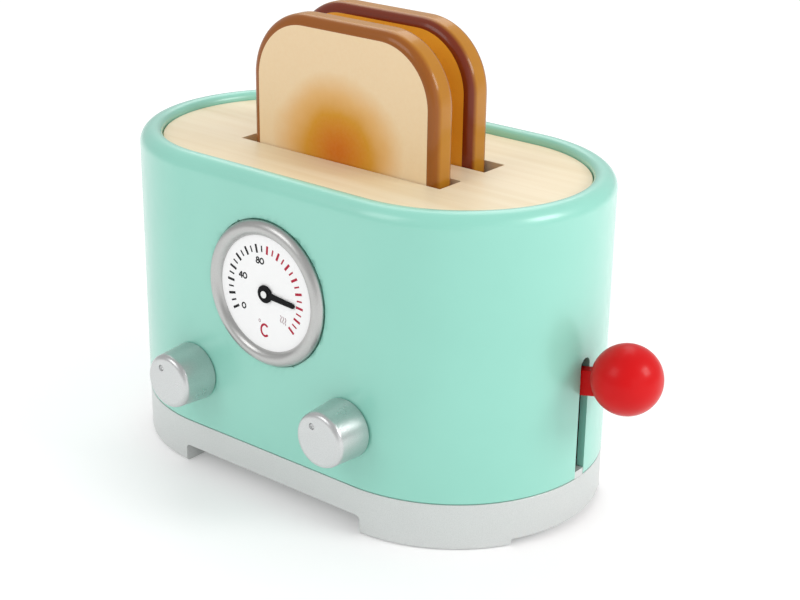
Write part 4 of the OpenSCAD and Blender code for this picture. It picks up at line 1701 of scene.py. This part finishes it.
@dataclass
class Slice:
    """A slice of toast: a board with a painted crust, one side printed with a spot and the other all golden.

    spot_low and spot_left are how far the spot lies below and to the left of the slice's middle.
    """

    wardrobe: Wardrobe
    side: Side
    body: Body
    printed_front: bool
    corner: float = 27 * MM
    foot_corner: float = 9 * MM
    edge: float = 4 * MM
    crust: Colour = srgb(190, 130, 36)
    crust_shade: Colour = srgb(180, 118, 28)
    # the colour of the crust's rounded edges; the rear slice's darker one is painted shade of the gap between the
    # slices
    crust_edge: Colour = srgb(150, 84, 20)
    spot_low: float = 4.3 * MM
    spot_left: float = 1.3 * MM
    turn_steps: int = 24

    def outline(self, inset: np.ndarray, wide: float, high: float) -> np.ndarray:
        """The slice's outline, drawn in by each inset: corner arcs about fixed centres, joined by straight sides.

        Args:
            inset: how far each row is drawn in.
            wide, high: the slice's width and height.

        Returns:
            An array of insets by points by two, about the middle of the lower edge.
        """
        rows = []
        for centre_x, centre_y, radius, start in (
                (wide / 2 - self.corner, high - self.corner, self.corner, 0),
                (self.corner - wide / 2, high - self.corner, self.corner, 90),
                (self.foot_corner - wide / 2, self.foot_corner, self.foot_corner, 180),
                (wide / 2 - self.foot_corner, self.foot_corner, self.foot_corner, 270)):
            a = np.radians(np.linspace(start, start + 90, self.turn_steps + 1))
            reach = radius - inset[:, None]
            rows.append(np.stack((centre_x + reach * np.cos(a), centre_y + reach * np.sin(a)), axis=-1))
        return np.concatenate(rows, axis=1)

    def board(self, node: str) -> bpy.types.Object:
        """The slice's shape: rings of its outline round a half round edge, closed by its two faces.

        Args:
            node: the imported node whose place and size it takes.

        Returns:
            The undressed piece.
        """
        wide, thick, high = extent(node)
        section = np.vstack((arc((self.edge, thick / 2 - self.edge), self.edge, 90, 180, steps=10),
                             arc((self.edge, self.edge - thick / 2), self.edge, 180, 270, steps=10)))
        rings = self.outline(section[:, 0], wide, high)
        x, y, _ = centre(node)
        out = np.broadcast_to(section[:, 1][:, None], rings.shape[:2])
        points = np.stack((x + rings[..., 0], y - out, box(node)[0][2] + rings[..., 1]), axis=-1)
        count = rings.shape[1]
        faces = grid_faces(len(section), count, False, True).tolist()
        faces += [list(range(count)), list(range((len(section) - 1) * count, len(section) * count))]
        return seal(mesh_object(node + "_board", points.reshape(-1, 3), faces))

    def build(self) -> bpy.types.Object:
        """Makes the slice and paints its crust and its two faces.

        Returns:
            The dressed piece.
        """
        node = "toast_" + self.side.value
        x, y, z = centre(node)
        face = Toasted("toasted_face_" + self.side.value, (x + middle().x - self.spot_left, z - self.spot_low))
        crust = Crust("toast_crust_" + self.side.value, self.crust, self.crust_shade, edge=self.crust_edge,
                      middle_y=y + middle().y, half_thick=extent(node)[1] / 2)
        piece = self.board(node)
        for finish in (crust, face, Finish.GOLDEN):
            piece.data.materials.append(self.wardrobe.material(finish))
        for polygon in piece.data.polygons:
            if len(polygon.vertices) > 4:
                at_front = polygon.center.y < y
                polygon.material_index = 1 if at_front == self.printed_front else 2
        smooth(piece, corner=30)
        return self.wardrobe.dress(piece, face, self.body, Slot.TOAST_PAINT, node)


@dataclass
class Mechanism:
    """The pieces inside: the platform on its rods and springs, the lever's bracket and fork, boards and screws.

    wire_facets and turn_steps are the points round a spring's wire and along one of its turns, and flattening is
    the share of its rise that slows down at both ends.
    """

    wardrobe: Wardrobe
    wire_radius: float = 0.5 * MM
    wire_facets: int = 12
    coil_turns: int = 10
    turn_steps: int = 32
    flattening: float = 0.1
    travel: float = 17 * MM

    def build(self) -> None:
        """Dresses every inner piece, each with its finish, its body, its slot and how far its edges are rounded."""
        inner = (
            ("slot_divider", Finish.PLYWOOD, Body.HOUSING, Slot.PLYWOOD, 0.3 * MM),
            ("slot_guide_front", Finish.PLYWOOD, Body.HOUSING, Slot.PLYWOOD, 0.3 * MM),
            ("slot_guide_rear", Finish.PLYWOOD, Body.HOUSING, Slot.PLYWOOD, 0.3 * MM),
            ("toast_platform", Finish.PLYWOOD, Body.PLATFORM, Slot.PLYWOOD, 0.3 * MM),
            ("pivot_bracket", Finish.PLYWOOD, Body.HOUSING, Slot.PLYWOOD, 0.3 * MM),
            ("lift_fork", Finish.NYLON, Body.PLATFORM, Slot.NYLON, 0.25 * MM),
            ("guide_rod_left", Finish.ROD_STEEL, Body.HOUSING, Slot.ROD_STEEL, 0.3 * MM),
            ("guide_rod_right", Finish.ROD_STEEL, Body.HOUSING, Slot.ROD_STEEL, 0.3 * MM),
            ("guide_bush_left", Finish.BRASS, Body.PLATFORM, Slot.BRASS, 0.2 * MM),
            ("guide_bush_right", Finish.BRASS, Body.PLATFORM, Slot.BRASS, 0.2 * MM),
            ("drive_pin", Finish.ROD_STEEL, Body.PLATFORM, Slot.ROD_STEEL, 0.2 * MM),
            ("pivot_pin", Finish.ROD_STEEL, Body.HOUSING, Slot.ROD_STEEL, 0.2 * MM),
            ("fork_screws", Finish.ZINC, Body.PLATFORM, Slot.SCREW_ZINC, 0.1 * MM),
            ("bracket_screws", Finish.ZINC, Body.HOUSING, Slot.SCREW_ZINC, 0.15 * MM),
            ("base_screws", Finish.ZINC, Body.HOUSING, Slot.SCREW_ZINC, 0.1 * MM),
        )
        for row in inner:
            copy_node(self.wardrobe, *row)
        for node in ("lift_spring_left", "lift_spring_right"):
            self.coil(node)

    def coil(self, node: str) -> bpy.types.Object:
        """Makes a spring: a round wire wound as a helix, a little closer at its ends, that the platform presses.

        The wire's middle runs at (R cos a, R sin a) with a = 2 pi n t, and rises as (1 - f) t + f (3 t^2 - 2 t^3),
        with flattening for f. Round it go points at the wire's radius, on the outward and upward directions.

        Args:
            node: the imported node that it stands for.

        Returns:
            The dressed spring.
        """
        lowest, highest = box(node)
        axis_x, axis_y, _ = centre(node)
        t = np.linspace(0, 1, self.coil_turns * self.turn_steps + 1)
        rise = t * (1 - self.flattening) + self.flattening * (3 * t ** 2 - 2 * t ** 3)
        low, high = lowest[2] + self.wire_radius, highest[2] - self.wire_radius
        turn = 2 * np.pi * self.coil_turns * t
        wire = np.radians(np.linspace(0, 360, self.wire_facets, endpoint=False))
        reach = extent(node)[0] / 2 - self.wire_radius + self.wire_radius * np.cos(wire)[None, :]
        points = np.stack((axis_x + reach * np.cos(turn)[:, None], axis_y + reach * np.sin(turn)[:, None],
                           (low + (high - low) * rise)[:, None] + self.wire_radius * np.sin(wire)[None, :]), axis=-1)
        last = (len(t) - 1) * self.wire_facets
        faces = grid_faces(len(t), self.wire_facets, False, True).tolist()
        faces += [list(range(self.wire_facets)), list(range(last, last + self.wire_facets))]
        piece = smooth(seal(mesh_object(node + "_wire", points.reshape(-1, 3), faces)), corner=50)
        self.wardrobe.dress(piece, Finish.SPRING_STEEL, Body.HOUSING, Slot.SPRING_STEEL, node)
        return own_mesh(piece)


# ------------------------------------------------------------------------------------------------ studio


@dataclass(frozen=True)
class Lamp:
    """A square soft light. way is the direction that it stands in, seen from what it shines at."""

    name: str
    way: Triple
    distance: float
    size: float
    watts: float

    def hang(self, aim: Vector) -> bpy.types.Object:
        """Puts the lamp up.

        Args:
            aim: what it shines at.

        Returns:
            The lamp's object.
        """
        light = bpy.data.lights.new(self.name, "AREA")
        light.shape = "SQUARE"
        light.size = self.size
        light.energy = self.watts
        lamp = bpy.data.objects.new(self.name, light)
        bpy.context.scene.collection.objects.link(lamp)
        way = Vector(self.way).normalized()
        turn = way.to_track_quat("Z", "Y").to_matrix().to_4x4()
        lamp.matrix_world = Matrix.Translation(aim + way * self.distance) @ turn
        return lamp


@dataclass
class Studio:
    """The camera at the photograph's angle, a white floor and soft lights.

    The world's strengths are world_light for what lights the toy, world_gloss for what a gloss mirrors, and 1 for
    what is seen straight. floor_glow lifts the floor where it is seen or mirrored.
    """

    azimuth: float = 38.86
    elevation: float = 21.83
    roll: float = 0.83
    distance: float = 696.04 * MM
    aim: tuple[float, float] = (12.5 * MM, 60.43 * MM)
    focal_pixels: float = 1658.78
    picture_wide: float = 800.0
    sensor: float = 36.0
    world_light: float = 0.72
    world_gloss: float = 0.55
    floor_half: float = 6.0
    floor_drop: float = 0.02 * MM
    floor_white: Colour = (0.92, 0.92, 0.92)
    floor_glow: float = 0.14
    lamp_aim: float = 70 * MM
    lamps: tuple[Lamp, ...] = (
        Lamp("key", (0.83, 0.22, 0.51), 1.1, 0.38, 3.7),
        Lamp("fill", (-0.35, -1.0, 0.75), 1.6, 0.7, 3.8),
        Lamp("side", (0.95, -0.35, 0.10), 1.3, 1.0, 1.6),
        Lamp("top", (-0.45, 0.55, 0.85), 1.4, 1.0, 5.0),
    )

    def axes(self) -> tuple[Vector, Vector, Vector]:
        """The camera's axes before its roll.

        Returns:
            Its right, up and back directions.
        """
        a, e = math.radians(self.azimuth), math.radians(self.elevation)
        back = Vector((math.sin(a) * math.cos(e), -math.cos(a) * math.cos(e), math.sin(e)))
        right = Vector((math.cos(a), math.sin(a), 0))
        return right, back.cross(right), back

    def camera(self) -> bpy.types.Object:
        """Makes the camera, aimed beside the body's middle and rolled a little, as the photograph's was.

        Returns:
            The camera.
        """
        right, up, back = self.axes()
        target = middle() + right * self.aim[0] + up * self.aim[1]
        lens = bpy.data.cameras.new("camera")
        lens.sensor_width = self.sensor
        lens.lens = self.focal_pixels * self.sensor / self.picture_wide
        camera = bpy.data.objects.new("camera", lens)
        bpy.context.scene.collection.objects.link(camera)
        c, s = math.cos(math.radians(self.roll)), math.sin(math.radians(self.roll))
        turned_right, turned_up = right * c + up * s, up * c - right * s
        turn = Matrix((turned_right, turned_up, back)).transposed().to_4x4()
        camera.matrix_world = Matrix.Translation(target + back * self.distance) @ turn
        bpy.context.scene.camera = camera
        return camera

    def seen_or_mirrored(self, tree: bpy.types.NodeTree) -> bpy.types.NodeSocket:
        """Finds out what kind of ray meets the floor.

        Args:
            tree: the floor's nodes.

        Returns:
            1 for a ray from the camera, off a gloss or through glass, else 0.
        """
        rays = tree.nodes.new("ShaderNodeLightPath")
        total = rays.outputs["Is Camera Ray"]
        for name in ("Is Glossy Ray", "Is Transmission Ray"):
            add = tree.nodes.new("ShaderNodeMath")
            add.operation = "ADD"
            add.use_clamp = True
            tree.links.new(total, add.inputs[0])
            tree.links.new(rays.outputs[name], add.inputs[1])
            total = add.outputs[0]
        return total

    def world(self) -> bpy.types.World:
        """Makes a white world that lights the toy evenly, looks plain white and is dimmer in a gloss.

        Returns:
            The world.
        """
        world = bpy.data.worlds.new("studio")
        bpy.context.scene.world = world
        world.use_nodes = True
        tree = world.node_tree
        tree.nodes.clear()
        output = tree.nodes.new("ShaderNodeOutputWorld")
        rays = tree.nodes.new("ShaderNodeLightPath")
        last = None
        for ray, strength in (("", self.world_light), ("Is Glossy Ray", self.world_gloss), ("Is Camera Ray", 1.0),
                              ("Is Transmission Ray", 1.0)):
            glow = tree.nodes.new("ShaderNodeBackground")
            glow.inputs["Color"].default_value = (1, 1, 1, 1)
            glow.inputs["Strength"].default_value = strength
            if last is None:
                last = glow
                continue
            mix = tree.nodes.new("ShaderNodeMixShader")
            tree.links.new(rays.outputs[ray], mix.inputs[0])
            tree.links.new(last.outputs[0], mix.inputs[1])
            tree.links.new(glow.outputs[0], mix.inputs[2])
            last = mix
        tree.links.new(last.outputs[0], output.inputs[0])
        return world

    def floor_material(self) -> bpy.types.Material:
        """Makes a matt white with a slight glow where it is seen, which is clear from behind.

        Returns:
            The material.
        """
        material = bpy.data.materials.new("floor_white")
        material.use_nodes = True
        tree = material.node_tree
        tree.nodes.clear()
        output = tree.nodes.new("ShaderNodeOutputMaterial")
        matt = tree.nodes.new("ShaderNodeBsdfDiffuse")
        matt.inputs["Color"].default_value = (*self.floor_white, 1)
        glow = tree.nodes.new("ShaderNodeEmission")
        scale = tree.nodes.new("ShaderNodeMath")
        scale.operation = "MULTIPLY"
        scale.inputs[1].default_value = self.floor_glow
        tree.links.new(self.seen_or_mirrored(tree), scale.inputs[0])
        tree.links.new(scale.outputs[0], glow.inputs["Strength"])
        both = tree.nodes.new("ShaderNodeAddShader")
        tree.links.new(matt.outputs[0], both.inputs[0])
        tree.links.new(glow.outputs[0], both.inputs[1])
        side = tree.nodes.new("ShaderNodeNewGeometry")
        mix = tree.nodes.new("ShaderNodeMixShader")
        tree.links.new(side.outputs["Backfacing"], mix.inputs[0])
        tree.links.new(both.outputs[0], mix.inputs[1])
        tree.links.new(tree.nodes.new("ShaderNodeBsdfTransparent").outputs[0], mix.inputs[2])
        tree.links.new(mix.outputs[0], output.inputs[0])
        return material

    def floor(self) -> bpy.types.Object:
        """Makes a white floor that keeps the toy's shadow, and that a view from below looks through.

        Returns:
            The floor.
        """
        half = self.floor_half
        points = np.column_stack((rectangle(-half, -half, half, half), np.full(4, -self.floor_drop)))
        floor = mesh_object("floor", points, [[0, 1, 2, 3]])
        floor.data.materials.append(self.floor_material())
        floor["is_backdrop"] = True
        return floor

    def build(self) -> None:
        """Sets the whole studio up: a soft key from the right, a fill from the front left and two more lamps."""
        self.camera()
        self.world()
        self.floor()
        for lamp in self.lamps:
            lamp.hang(middle() + Vector((0, 0, self.lamp_aim)))
        bpy.context.scene.view_settings.view_transform = "Standard"


def corners() -> list[list[float]]:
    """The lowest and highest corner of all that shows, as plain lists."""
    return [[float(c) for c in corner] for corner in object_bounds()]


def main() -> None:
    """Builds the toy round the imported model."""
    logging.basicConfig(level=logging.INFO, format="%(name)s: %(message)s")
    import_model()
    Studio().build()
    wardrobe = Wardrobe()
    Housing(wardrobe).build()
    Dial(wardrobe).build()
    Knob(wardrobe, Side.LEFT, Body.LEFT_KNOB).build()
    Knob(wardrobe, Side.RIGHT, Body.RIGHT_KNOB).build()
    Lever(wardrobe).build()
    Slice(wardrobe, Side.FRONT, Body.FRONT_SLICE, printed_front=True).build()
    # the rear slice's darker crust edge is painted shade: it stands for the shadow in the narrow gap behind the front
    # slice
    Slice(wardrobe, Side.REAR, Body.REAR_SLICE, printed_front=False, crust_edge=srgb(118, 42, 11)).build()
    Mechanism(wardrobe).build()
    log.info("done")


if __name__ == "__main__":
    main()
